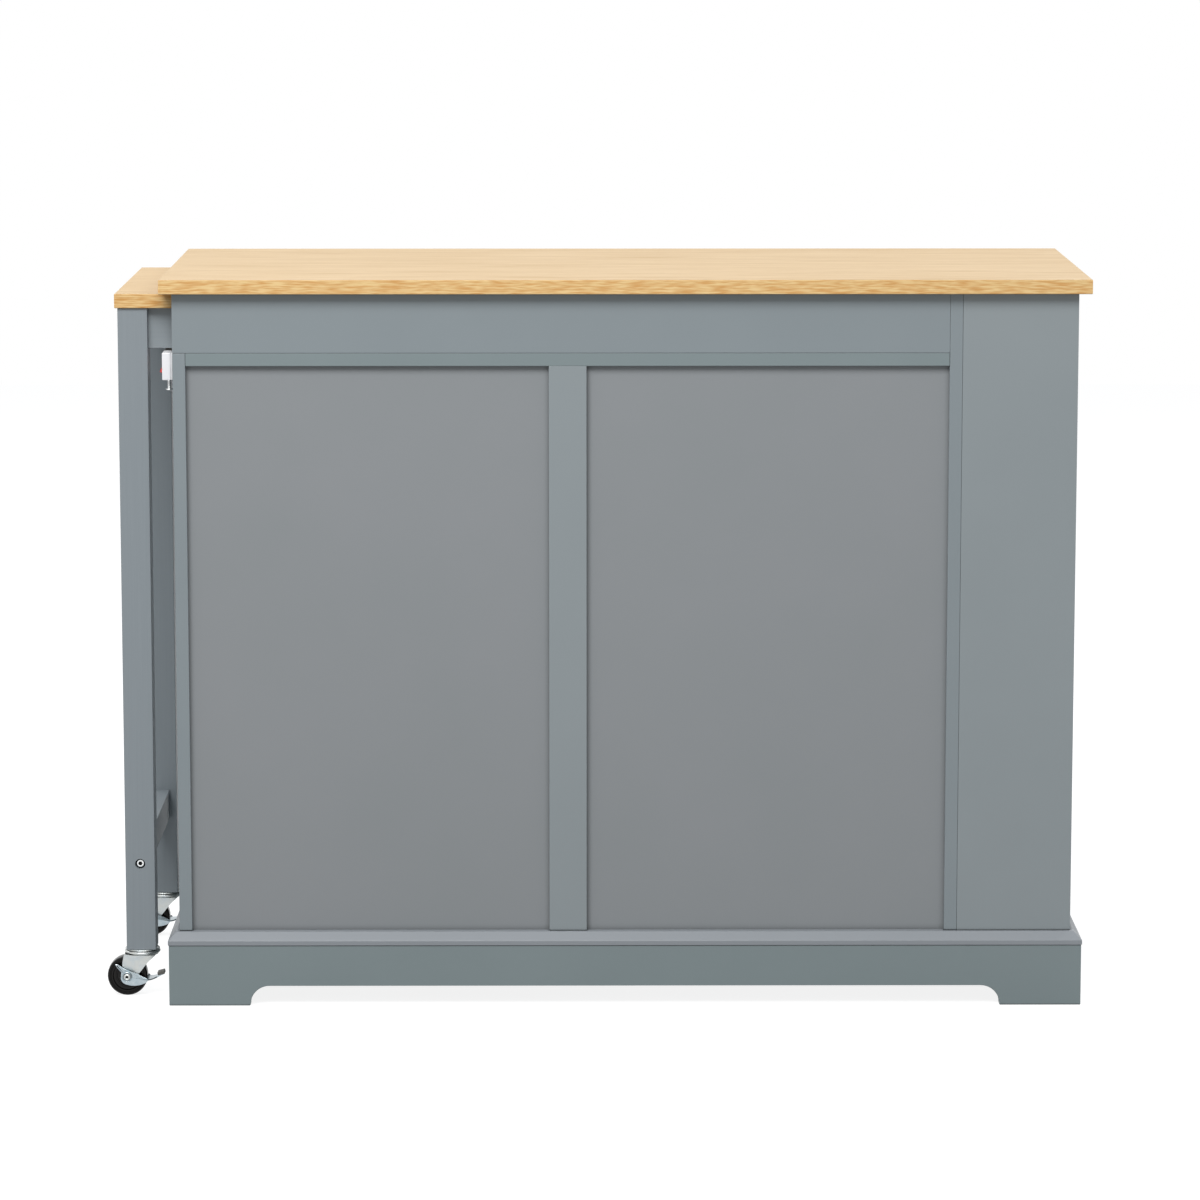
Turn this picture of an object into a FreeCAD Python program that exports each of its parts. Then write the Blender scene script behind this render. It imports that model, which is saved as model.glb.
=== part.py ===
import FreeCAD, Part
import Sketcher
import math
import os
import re

# Kitchen island with a side table that slides out from under its worktop on two casters.
# Millimetres. +Z is up, the closed panelled face looks along -Y and the doors along +Y.
# The table slides out along -X. The origin is on the floor, under the middle of the whole island.

document = FreeCAD.newDocument("kitchen_island")

# Driving sizes, each written once.
SIZES = {
    # worktop and boards
    "overall_height": 914.0,
    "worktop_length": 1150.0,
    "worktop_depth": 480.0,
    "worktop_thick": 18.0,
    "worktop_overhang": 15.0,
    "board_thick": 16.0,
    "rail_height": 74.0,
    "board_edge_round": 1.2,
    # base
    "base_thick": 16.0,
    "base_proud": 14.0,
    "base_chamfer": 10.0,
    "plinth_height": 77.0,
    "plinth_inset": 1.0,
    "arch_height": 25.0,
    "arch_corner": 24.0,
    "foot_length": 102.0,
    "corner_block": 32.0,
    # closed face
    "stile_width": 47.0,
    "stile_thick": 8.0,
    "panel_thick": 3.0,
    "groove_deep": 5.0,
    "groove_play": 0.15,
    # open shelves in the end of the island
    "end_shelf_deep": 143.0,
    # shelves behind the doors
    "shelf_level": 350.0,
    "shelf_side_play": 1.0,
    "shelf_front_inset": 12.0,
    "shelf_pin_radius": 2.5,
    "shelf_pin_out": 8.0,
    "shelf_hole_deep": 7.5,
    "shelf_hole_pitch": 64.0,
    "shelf_pin_inset": 60.0,
    "seat_gap": 0.2,
    # side table
    "table_length": 990.0,
    "table_thick": 18.0,
    "table_drop": 3.0,
    "table_proud": 58.5,
    "table_lip": 3.5,
    "leg_width": 37.0,
    "apron_height": 51.0,
    "apron_thick": 16.0,
    "apron_recess": 10.5,
    "cross_rail_inset": 16.0,
    "stretcher_low": 163.5,
    "stretcher_height": 37.5,
    "stretcher_thick": 19.0,
    "bolt_rise": 8.5,
    "bolt_radius": 3.0,
    "bolt_length": 70.0,
    "bolt_head_radius": 4.8,
    "bolt_head_thick": 4.0,
    "bolt_socket_radius": 2.9,
    "bolt_socket_deep": 2.2,
    "bolt_bore_radius": 6.4,
    "bolt_bore_deep": 7.5,
    "barrel_radius": 5.0,
    "barrel_length": 15.0,
    "barrel_setback": 9.0,
    "dowel_radius": 4.0,
    "dowel_length": 30.0,
    "dowel_rise": 27.0,
    # runners
    "runner_length": 600.0,
    "runner_height": 45.0,
    "runner_thick": 12.7,
    "runner_gauge": 1.2,
    "runner_outer_flange": 9.2,
    "runner_middle_start": 2.0,
    "runner_middle_web": 4.6,
    "runner_middle_end": 10.2,
    "runner_inner_start": 6.4,
    "running_gap": 0.3,
    "runner_inset": 5.0,
    "packer_height": 40.0,
    "packer_thick": 15.3,
    # casters
    "caster_height": 61.0,
    "wheel_dia": 50.8,
    "wheel_width": 20.0,
    "wheel_hub_radius": 7.5,
    "wheel_rim_radius": 18.5,
    "wheel_dish_deep": 3.5,
    "tread_round": 2.2,
    "caster_trail": 18.9,
    "mount_radius": 22.0,
    "mount_thick": 2.0,
    "swivel_gap": 0.4,
    "crown_radius": 23.3,
    "crown_thick": 5.2,
    "kingpin_radius": 4.0,
    "kingpin_head_radius": 6.0,
    "kingpin_head_thick": 2.0,
    "cheek_thick": 2.0,
    "cheek_gap": 1.0,
    "cheek_lobe_radius": 8.0,
    "axle_radius": 3.0,
    "nut_radius": 5.2,
    "nut_thick": 3.0,
    "pin_play": 0.1,
    "brake_thick": 1.5,
    "brake_lobe_radius": 9.5,
    "brake_arm_reach": 17.0,
    "brake_arm_rise": 20.0,
    "brake_tip_reach": 27.0,
    "brake_arm_width": 8.0,
    "pedal_reach": 46.5,
    "pedal_rise": 6.5,
    "pedal_thick": 1.6,
    "pedal_pad_length": 9.0,
    "pedal_pad_thick": 3.2,
    # doors
    "door_thick": 18.0,
    "door_gap": 2.0,
    "hinge_side_gap": 2.4,
    "door_frame_width": 62.0,
    "door_recess": 6.0,
    "knob_proud": 25.0,
    "knob_radius": 15.0,
    "knob_neck_radius": 5.5,
    "knob_base_radius": 8.5,
    "knob_base_thick": 2.5,
    "knob_head_thick": 9.0,
    "knob_height_from_top": 110.0,
    # door hinges
    "hinge_height": 64.0,
    "hinge_end_inset": 90.0,
    "hinge_leaf_thick": 1.0,
    "hinge_leaf_deep": 30.0,
    "hinge_pin_radius": 1.5,
    "hinge_knuckle_radius": 3.0,
    "hinge_proud": 3.3,
    "hinge_knuckle_length": 16.0,
    "hinge_tip_thick": 2.0,
    # catches
    "catch_width": 12.0,
    "catch_deep": 16.0,
    "catch_height": 40.0,
    # brackets and screws
    "bracket_gauge": 1.5,
    "bracket_leg": 18.0,
    "bracket_foot": 12.0,
    "bracket_width": 20.0,
    "screw_radius": 2.5,
    "screw_head_radius": 4.0,
    "screw_head_thick": 3.0,
    "screw_length": 45.0,
    # power strip on the side panel
    "strip_length": 200.0,
    "strip_proud": 14.0,
    "strip_height": 34.0,
    "strip_start": 15.0,
    "strip_top_gap": 1.0,
    "strip_screw_radius": 2.0,
    "strip_screw_length": 13.0,
    "strip_screw_head_radius": 4.2,
    "strip_screw_head_thick": 2.6,
    "strip_screw_inset": 9.0,
    "strip_gland_radius": 4.5,
    "strip_gland_length": 9.0,
    "outlet_slot_high": 7.0,
    "outlet_slot_wide": 1.8,
    "outlet_slot_apart": 12.7,
    "outlet_slot_deep": 9.0,
    "outlet_pin_radius": 2.4,
    "outlet_pin_drop": 10.5,
    # rocker of the power strip
    "rocker_width": 12.0,
    "rocker_radius": 11.5,
    "rocker_ridge": 6.0,
    "rocker_back": 3.0,
    "rocker_pivot_deep": 5.0,
    "rocker_play": 0.5,
    "rocker_inset": 6.0,
}

ROCKER_SPREAD_DEG = 55.0
ROCKER_THROW_DEG = 18.0
END_SHELF_COUNT = 3
BRACKET_SHARES = (0.08, 0.5, 0.92)
SHELF_HOLE_ROWS = (-1, 0, 1)
SHELF_PIN_COLUMNS = ("shelf_near + shelf_pin_inset", "shelf_far - shelf_pin_inset")
OUTLET_SHARES = (0.38, 0.74)
SCREW_SHARES = (0.58, 0.9)

# Planes that the pieces share, worked out from the driving sizes.
PLACES = {
    # along X
    "body_mid": "(table_proud - table_lip - leg_width / 2 + caster_trail + wheel_dia / 2) / 2",
    "top_left": "body_mid - worktop_length / 2",
    "top_right": "body_mid + worktop_length / 2",
    "body_left": "top_left + worktop_overhang",
    "body_right": "top_right - worktop_overhang",
    "side_inner": "body_left + board_thick",
    "divider_right": "body_right - end_shelf_deep",
    "divider_left": "divider_right - board_thick",
    "part_mid": "(side_inner + divider_left) / 2",
    "part_left": "part_mid - board_thick / 2",
    "part_right": "part_mid + board_thick / 2",
    "stile_left": "part_mid - stile_width / 2",
    "stile_right": "part_mid + stile_width / 2",
    "base_left": "body_left - base_proud",
    "base_right": "body_right + base_proud",
    "plinth_left": "base_left + plinth_inset",
    "plinth_right": "base_right - plinth_inset",
    # along Y
    "face_near": "(worktop_overhang - worktop_depth + 2 * worktop_overhang - knob_proud) / 2",
    "body_depth": "worktop_depth - 2 * worktop_overhang",
    "face_far": "face_near + body_depth",
    "top_near": "face_near - worktop_overhang",
    "top_far": "face_far + worktop_overhang",
    "rail_near_in": "face_near + board_thick",
    "rail_far_in": "face_far - board_thick",
    "base_near": "face_near - base_proud",
    "base_far": "face_far + base_proud",
    "plinth_near": "base_near + plinth_inset",
    "plinth_far": "base_far - plinth_inset",
    "panel_near": "face_near + stile_thick",
    "panel_far": "panel_near + panel_thick",
    "door_inner": "face_far - door_thick",
    # along Z
    "base_top": "plinth_height + base_thick",
    "worktop_under": "overall_height - worktop_thick",
    "rail_low": "worktop_under - rail_height",
    "deck_under": "rail_low - board_thick",
    # side table
    "table_left": "top_left - table_proud",
    "table_right": "table_left + table_length",
    "table_near": "apron_near - apron_recess - table_lip",
    "table_far": "apron_far + apron_recess + table_lip",
    "table_top_z": "worktop_under - table_drop",
    "table_under": "table_top_z - table_thick",
    "leg_left": "table_left + table_lip",
    "leg_right": "leg_left + leg_width",
    "leg_mid": "leg_left + leg_width / 2",
    "leg_near_mid": "table_near + table_lip + leg_width / 2",
    "leg_far_mid": "table_far - table_lip - leg_width / 2",
    "apron_low": "table_under - apron_height",
    "apron_near": "runner_near + runner_thick",
    "apron_far": "runner_far - runner_thick",
    "cross_rail_right": "table_right - cross_rail_inset",
    "cross_rail_left": "cross_rail_right - apron_thick",
    "stretcher_left": "leg_mid - stretcher_thick / 2",
    "stretcher_right": "leg_mid + stretcher_thick / 2",
    "bolt_level": "stretcher_low + bolt_rise",
    "dowel_level": "stretcher_low + dowel_rise",
    # runners
    "runner_near": "rail_near_in + packer_thick",
    "runner_far": "rail_far_in - packer_thick",
    "runner_level": "(apron_low + table_under) / 2",
    "runner_left": "body_left + runner_inset",
    "runner_right": "runner_left + runner_length",
    # casters
    "wheel_x": "leg_mid - caster_trail",
    "wheel_z": "wheel_dia / 2",
    "mount_under": "caster_height - mount_thick",
    "crown_top": "mount_under - swivel_gap",
    "crown_under": "crown_top - crown_thick",
    "cheek_inner": "wheel_width / 2 + cheek_gap",
    "cheek_outer": "cheek_inner + cheek_thick",
    "brake_inner": "cheek_outer + running_gap",
    "brake_outer": "brake_inner + brake_thick",
    "nut_seat": "brake_outer + seat_gap",
    # doors and hinges
    "door_low": "base_top + door_gap",
    "door_high": "deck_under - door_gap",
    "hinge_y": "face_far + hinge_proud",
    "hinge_axis_in": "hinge_side_gap / 2",
    # shelf
    "shelf_low": "base_top + shelf_level",
    "shelf_near": "panel_far + running_gap",
    "shelf_far": "door_inner - shelf_front_inset",
    "pin_level": "shelf_low - shelf_pin_radius - seat_gap",
    # power strip
    "strip_outer": "body_left - strip_proud",
    "strip_near": "face_near + strip_start",
    "strip_far": "strip_near + strip_length",
    "strip_high": "rail_low - strip_top_gap",
    "strip_low": "strip_high - strip_height",
    "strip_level": "(strip_low + strip_high) / 2",
    "rocker_near": "strip_near + rocker_inset",
    "rocker_far": "rocker_near + rocker_width",
}

sizes = document.addObject("Spreadsheet::Sheet", "Sizes")
places = document.addObject("Spreadsheet::Sheet", "Places")


def lead(text, own=""):
    """Put the sheet's name before each alias, except those of the sheet that holds the text."""

    def name_of(match):
        word = match.group(0)
        if word in SIZES:
            return "Sizes." + word
        if word in PLACES and own != "Places":
            return "Places." + word
        return word

    return re.sub(r"[a-z][a-z0-9_]*", name_of, text)


def fill_sheets():
    """Write the driving sizes as plain numbers and the shared planes as formulas."""
    for row, (alias, size) in enumerate(SIZES.items(), start=1):
        sizes.set(f"A{row}", alias)
        sizes.set(f"B{row}", str(size))
        sizes.setAlias(f"B{row}", alias)
    document.recompute()
    for row, (alias, formula) in enumerate(PLACES.items(), start=1):
        places.set(f"A{row}", alias)
        places.setAlias(f"B{row}", alias)
    for row, formula in enumerate(PLACES.values(), start=1):
        places.set(f"B{row}", "=" + lead(formula, own="Places"))
    document.recompute()


fill_sheets()

nodes = []


def number(alias):
    """Value of a driving size or of a shared plane."""
    sheet = sizes if alias in SIZES else places
    return float(sheet.get(alias))


def node(item, name):
    """Keep a finished piece as a node of the island."""
    item.Label = name
    nodes.append(item)
    return item


def fresh(kind, name):
    """New object of the document."""
    return document.addObject(kind, name)


def bind(item, **formulas):
    """Bind properties of an object to formulas."""
    for key, formula in formulas.items():
        item.setExpression(key, lead(formula))


def put(item, x, y, z):
    """Bind an object's place to three formulas."""
    for axis, formula in zip("xyz", (x, y, z)):
        item.setExpression("Placement.Base." + axis, lead(formula))


def board(name, x, y, z):
    """Box between two planes on each axis."""
    item = fresh("Part::Box", name)
    bind(
        item,
        Length=f"({x[1]}) - ({x[0]})",
        Width=f"({y[1]}) - ({y[0]})",
        Height=f"({z[1]}) - ({z[0]})",
    )
    put(item, x[0], y[0], z[0])
    return item


TURNS = {
    "x": FreeCAD.Rotation(FreeCAD.Vector(0, 1, 0), 90),
    "y": FreeCAD.Rotation(FreeCAD.Vector(1, 0, 0), -90),
    "z": FreeCAD.Rotation(),
}


def turn(item, axis):
    """Lay an object's own Z along an axis."""
    item.Placement = FreeCAD.Placement(FreeCAD.Vector(), TURNS[axis])
    return item


def rod(name, axis, radius, start, length):
    """Cylinder from a start point along an axis."""
    item = turn(fresh("Part::Cylinder", name), axis)
    bind(item, Radius=radius, Height=length)
    put(item, *start)
    return item


def hexagon(name, axis, radius, start, length):
    """Six-sided bar from a start point along an axis."""
    item = turn(fresh("Part::Prism", name), axis)
    bind(item, Circumradius=radius, Height=length)
    put(item, *start)
    return item


def fuse(name, pieces):
    """One solid from pieces that meet."""
    item = fresh("Part::MultiFuse", name)
    item.Shapes = pieces
    return item


def group(name, pieces):
    """Separate solids kept together."""
    item = fresh("Part::Compound", name)
    item.Links = pieces
    return item


def cut(name, base, tools):
    """Base with tools taken out of it."""
    item = fresh("Part::Cut", name)
    item.Base = base
    item.Tool = tools[0] if len(tools) == 1 else group(name + "_tools", tools)
    return item


def side(base, sign, low, high):
    """Span from a plane, away from it along plus or minus the axis."""
    if sign > 0:
        return (f"{base} + {low}", f"{base} + {high}")
    return (f"{base} - ({high})", f"{base} - ({low})")


def plane_of(body, role):
    """Origin plane of a body."""
    return next(item for item in body.Origin.OriginFeatures if item.Role == role)


def draw(body, role, name, points):
    """Closed outline through points, each held at its two formulas."""
    sketch = body.newObject("Sketcher::SketchObject", name)
    sketch.AttachmentSupport = [(plane_of(body, role), "")]
    sketch.MapMode = "FlatFace"
    count = len(points)
    ring = [
        FreeCAD.Vector(math.cos(2 * math.pi * i / count), math.sin(2 * math.pi * i / count), 0)
        for i in range(count)
    ]
    for i in range(count):
        sketch.addGeometry(Part.LineSegment(ring[i], ring[(i + 1) % count]), False)
    for i in range(count):
        sketch.addConstraint(Sketcher.Constraint("Coincident", i, 2, (i + 1) % count, 1))
    for i, (across, up) in enumerate(points):
        for kind, formula, start in (("DistanceX", across, ring[i].x), ("DistanceY", up, ring[i].y)):
            index = sketch.addConstraint(Sketcher.Constraint(kind, -1, 1, i, 1, start))
            sketch.setExpression(f"Constraints[{index}]", lead(formula))
    return sketch


def pad(name, role, points, length, backwards=False):
    """Body with one padded outline."""
    body = fresh("PartDesign::Body", name)
    sketch = draw(body, role, name + "_outline", points)
    feature = body.newObject("PartDesign::Pad", name + "_pad")
    feature.Profile = sketch
    feature.Reversed = backwards
    bind(feature, Length=length)
    return body


def spin(name, points):
    """Body turned about its own Z from an outline of radius and height."""
    body = fresh("PartDesign::Body", name)
    sketch = draw(body, "XZ_Plane", name + "_outline", points)
    feature = body.newObject("PartDesign::Revolution", name + "_revolution")
    feature.Profile = sketch
    feature.ReferenceAxis = (sketch, ["V_Axis"])
    feature.Angle = 360
    return body


def dress(body, kind, size, wanted):
    """Fillet or chamfer on the edges of a body's last feature that the test picks."""
    document.recompute()
    base = body.Tip
    picked = [f"Edge{i}" for i, edge in enumerate(base.Shape.Edges, start=1) if wanted(edge)]
    feature = body.newObject("PartDesign::" + kind, body.Name + "_" + kind.lower())
    feature.Base = (base, picked)
    bind(feature, **{"Radius" if kind == "Fillet" else "Size": size})
    return body


def runs_along(edge, axis):
    """True where an edge is parallel to an axis."""
    start, end = edge.Vertexes[0].Point, edge.Vertexes[-1].Point
    along = end - start
    return all(abs(getattr(along, other)) < 1e-6 for other in "xyz" if other != axis)


def build_worktop():
    """Worktop with softened upper edges."""
    body = pad(
        "worktop_board",
        "XY_Plane",
        [
            ("top_left", "top_near"),
            ("top_right", "top_near"),
            ("top_right", "top_far"),
            ("top_left", "top_far"),
        ],
        "worktop_thick",
    )
    put(body, "0", "0", "worktop_under")
    dress(body, "Fillet", "board_edge_round", lambda edge: not runs_along(edge, "z"))
    node(body, "worktop")


def build_base():
    """Chamfered base board on a plinth with arched cut-outs and corner blocks."""
    body = pad(
        "base_slab",
        "XY_Plane",
        [
            ("base_left", "base_near"),
            ("base_right", "base_near"),
            ("base_right", "base_far"),
            ("base_left", "base_far"),
        ],
        "base_thick",
    )
    put(body, "0", "0", "plinth_height")
    thick = number("base_thick")
    dress(
        body,
        "Chamfer",
        "base_chamfer",
        lambda edge: not runs_along(edge, "z") and edge.BoundBox.ZMin > thick / 2,
    )
    node(body, "base_board")

    def arched(name, role, start, end, backwards):
        points = [
            (start, "0"),
            (f"{start} + foot_length", "0"),
            (f"{start} + foot_length", "arch_height"),
            (f"{end} - foot_length", "arch_height"),
            (f"{end} - foot_length", "0"),
            (end, "0"),
            (end, "plinth_height"),
            (start, "plinth_height"),
        ]
        arch = pad(name, role, points, "board_thick", backwards)
        thin = "y" if role == "XZ_Plane" else "x"
        top = number("arch_height")
        dress(
            arch,
            "Fillet",
            "arch_corner",
            lambda edge: runs_along(edge, thin) and abs(edge.BoundBox.ZMin - top) < top / 4,
        )
        return arch

    near = arched("plinth_near_arch", "XZ_Plane", "plinth_left", "plinth_right", True)
    put(near, "0", "plinth_near", "0")
    node(near, "plinth_back_board")
    far = arched("plinth_far_arch", "XZ_Plane", "plinth_left", "plinth_right", True)
    put(far, "0", "plinth_far - board_thick", "0")
    node(far, "plinth_front_board")
    inner = ("plinth_near + board_thick", "plinth_far - board_thick")
    left = arched("plinth_left_arch", "YZ_Plane", *inner, False)
    put(left, "plinth_left", "0", "0")
    right = arched("plinth_right_arch", "YZ_Plane", *inner, False)
    put(right, "plinth_right - board_thick", "0", "0")
    node(group("plinth_ends", [left, right]), "plinth_end_boards")

    blocks = []
    for x_base, x_sign in (("plinth_left", 1), ("plinth_right", -1)):
        for y_base, y_sign in (("plinth_near", 1), ("plinth_far", -1)):
            blocks.append(
                board(
                    f"block_{len(blocks)}",
                    side(x_base, x_sign, "board_thick", "board_thick + corner_block"),
                    side(y_base, y_sign, "board_thick", "board_thick + corner_block"),
                    ("arch_height", "plinth_height"),
                )
            )
    node(group("plinth_blocks", blocks), "plinth_corner_blocks")


def shelf_holes(name, face, sign):
    """Rows of holes for shelf pins in one face of an upright board, drilled against the sign."""
    holes = []
    low = face if sign < 0 else f"{face} - shelf_hole_deep"
    for column in SHELF_PIN_COLUMNS:
        for row in SHELF_HOLE_ROWS:
            start = (low, column, f"pin_level + {row} * shelf_hole_pitch")
            holes.append(rod(f"{name}_{len(holes)}", "x", "shelf_pin_radius", start, "shelf_hole_deep"))
    return holes


def build_screws():
    """Screws through the left side panel into the deck, flush with the panel's outer face."""
    screws = []
    for index, share in enumerate(SCREW_SHARES):
        start = ("body_left", f"face_near + {share} * body_depth", "deck_under + board_thick / 2")
        head = rod(f"screw_head_{index}", "x", "screw_head_radius", start, "screw_head_thick")
        shank = rod(f"screw_shank_{index}", "x", "screw_radius", start, "screw_length")
        screws.append(fuse(f"screw_{index}", [head, shank]))
    return node(group("screws", screws), "deck_screws")


def build_uprights(screws):
    """Side panel, centre partition and full-height divider, with grooves for the back panels."""
    groove_y = ("panel_near - groove_play", "panel_far + groove_play")
    inner_z = ("base_top", "deck_under")
    full_y = ("face_near", "face_far")
    left = board("left_blank", ("body_left", "side_inner"), full_y, ("base_top", "rail_low"))
    groove = board("left_groove", ("side_inner - groove_deep", "side_inner"), groove_y, inner_z)
    tools = [groove] + shelf_holes("left_hole", "side_inner", 1)
    node(cut("left_side", cut("left_grooved", left, tools), [screws]), "left_side_panel")

    middle = board("middle_blank", ("part_left", "part_right"), ("panel_near", "face_far"), inner_z)
    tools = [
        board("middle_groove_left", ("part_left", "part_left + groove_deep"), groove_y, inner_z),
        board("middle_groove_right", ("part_right - groove_deep", "part_right"), groove_y, inner_z),
    ]
    tools += shelf_holes("middle_hole_left", "part_left", -1)
    tools += shelf_holes("middle_hole_right", "part_right", 1)
    node(cut("middle", middle, tools), "centre_partition")

    divider_x = ("divider_left", "divider_right")
    divider = board("divider_blank", divider_x, full_y, ("base_top", "worktop_under"))
    tools = [board("divider_groove", ("divider_left", "divider_left + groove_deep"), groove_y, inner_z)]
    tools += shelf_holes("divider_hole", "divider_left", -1)
    node(cut("divider", divider, tools), "divider_panel")


def build_deck(screws):
    """Deck board under the side table and the two rails that carry the worktop."""
    deck_x = ("side_inner", "divider_left")
    deck = board("deck_blank", deck_x, ("face_near", "face_far"), ("deck_under", "rail_low"))
    node(cut("deck", deck, [screws]), "deck_board")
    rail_x = ("body_left", "divider_left")
    rail_z = ("rail_low", "worktop_under")
    node(board("rail_near", rail_x, ("face_near", "rail_near_in"), rail_z), "upper_back_rail")
    node(board("rail_far", rail_x, ("rail_far_in", "face_far"), rail_z), "upper_front_rail")


def build_closed_face():
    """Two thin back panels, the stile that covers their joint, and the end unit's two panels."""
    panel_y = ("panel_near", "panel_far")
    inner_z = ("base_top", "deck_under")
    tongue = "groove_deep - groove_play"
    left_x = (f"side_inner - ({tongue})", f"part_left + {tongue}")
    right_x = (f"part_right - ({tongue})", f"divider_left + {tongue}")
    node(board("panel_left", left_x, panel_y, inner_z), "back_panel_left")
    node(board("panel_right", right_x, panel_y, inner_z), "back_panel_right")
    node(board("stile", ("stile_left", "stile_right"), ("face_near", "panel_near"), inner_z), "centre_stile")
    end_x = ("divider_right", "body_right")
    end_z = ("base_top", "worktop_under")
    node(board("end_near", end_x, ("face_near", "rail_near_in"), end_z), "end_back_panel")
    node(board("end_far", end_x, ("rail_far_in", "face_far"), end_z), "end_front_panel")


def build_shelves():
    """Fixed shelves in the open end, and an adjustable shelf on pins behind each door."""
    bay = f"(worktop_under - base_top - {END_SHELF_COUNT} * board_thick) / {END_SHELF_COUNT + 1}"
    fixed = []
    end_x = ("divider_right", "body_right")
    end_y = ("rail_near_in", "rail_far_in")
    for level in range(1, END_SHELF_COUNT + 1):
        low = f"base_top + {level} * {bay} + {level - 1} * board_thick"
        fixed.append(board(f"end_shelf_{level}", end_x, end_y, (low, low + " + board_thick")))
    node(group("end_shelf_set", fixed), "end_shelves")

    loose = []
    pins = []
    for name, left, right in (("left", "side_inner", "part_left"), ("right", "part_right", "divider_left")):
        loose.append(
            board(
                f"shelf_{name}",
                (f"{left} + shelf_side_play", f"{right} - shelf_side_play"),
                ("shelf_near", "shelf_far"),
                ("shelf_low", "shelf_low + board_thick"),
            )
        )
        length = "shelf_hole_deep - seat_gap + shelf_pin_out"
        for low in (f"{left} - shelf_hole_deep + seat_gap", f"{right} - shelf_pin_out"):
            for column in SHELF_PIN_COLUMNS:
                start = (low, column, "pin_level")
                pins.append(rod(f"pin_{len(pins)}", "x", "shelf_pin_radius", start, length))
    node(group("loose_shelves", loose), "adjustable_shelves")
    node(group("pins", pins), "shelf_pins")


def build_brackets():
    """Angle brackets that hold the worktop to the two rails, above the sliding table."""
    brackets = []
    for base, sign in (("rail_near_in", 1), ("rail_far_in", -1)):
        for share in BRACKET_SHARES:
            middle = f"body_left + {share} * (divider_left - body_left)"
            x = (f"{middle} - bracket_width / 2", f"{middle} + bracket_width / 2")
            index = len(brackets)
            leg = board(
                f"bracket_leg_{index}",
                x,
                side(base, sign, "0", "bracket_gauge"),
                ("worktop_under - bracket_leg", "worktop_under"),
            )
            foot = board(
                f"bracket_foot_{index}",
                x,
                side(base, sign, "0", "bracket_foot"),
                ("worktop_under - bracket_gauge", "worktop_under"),
            )
            brackets.append(fuse(f"bracket_{index}", [leg, foot]))
    node(group("brackets", brackets), "worktop_brackets")


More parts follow.
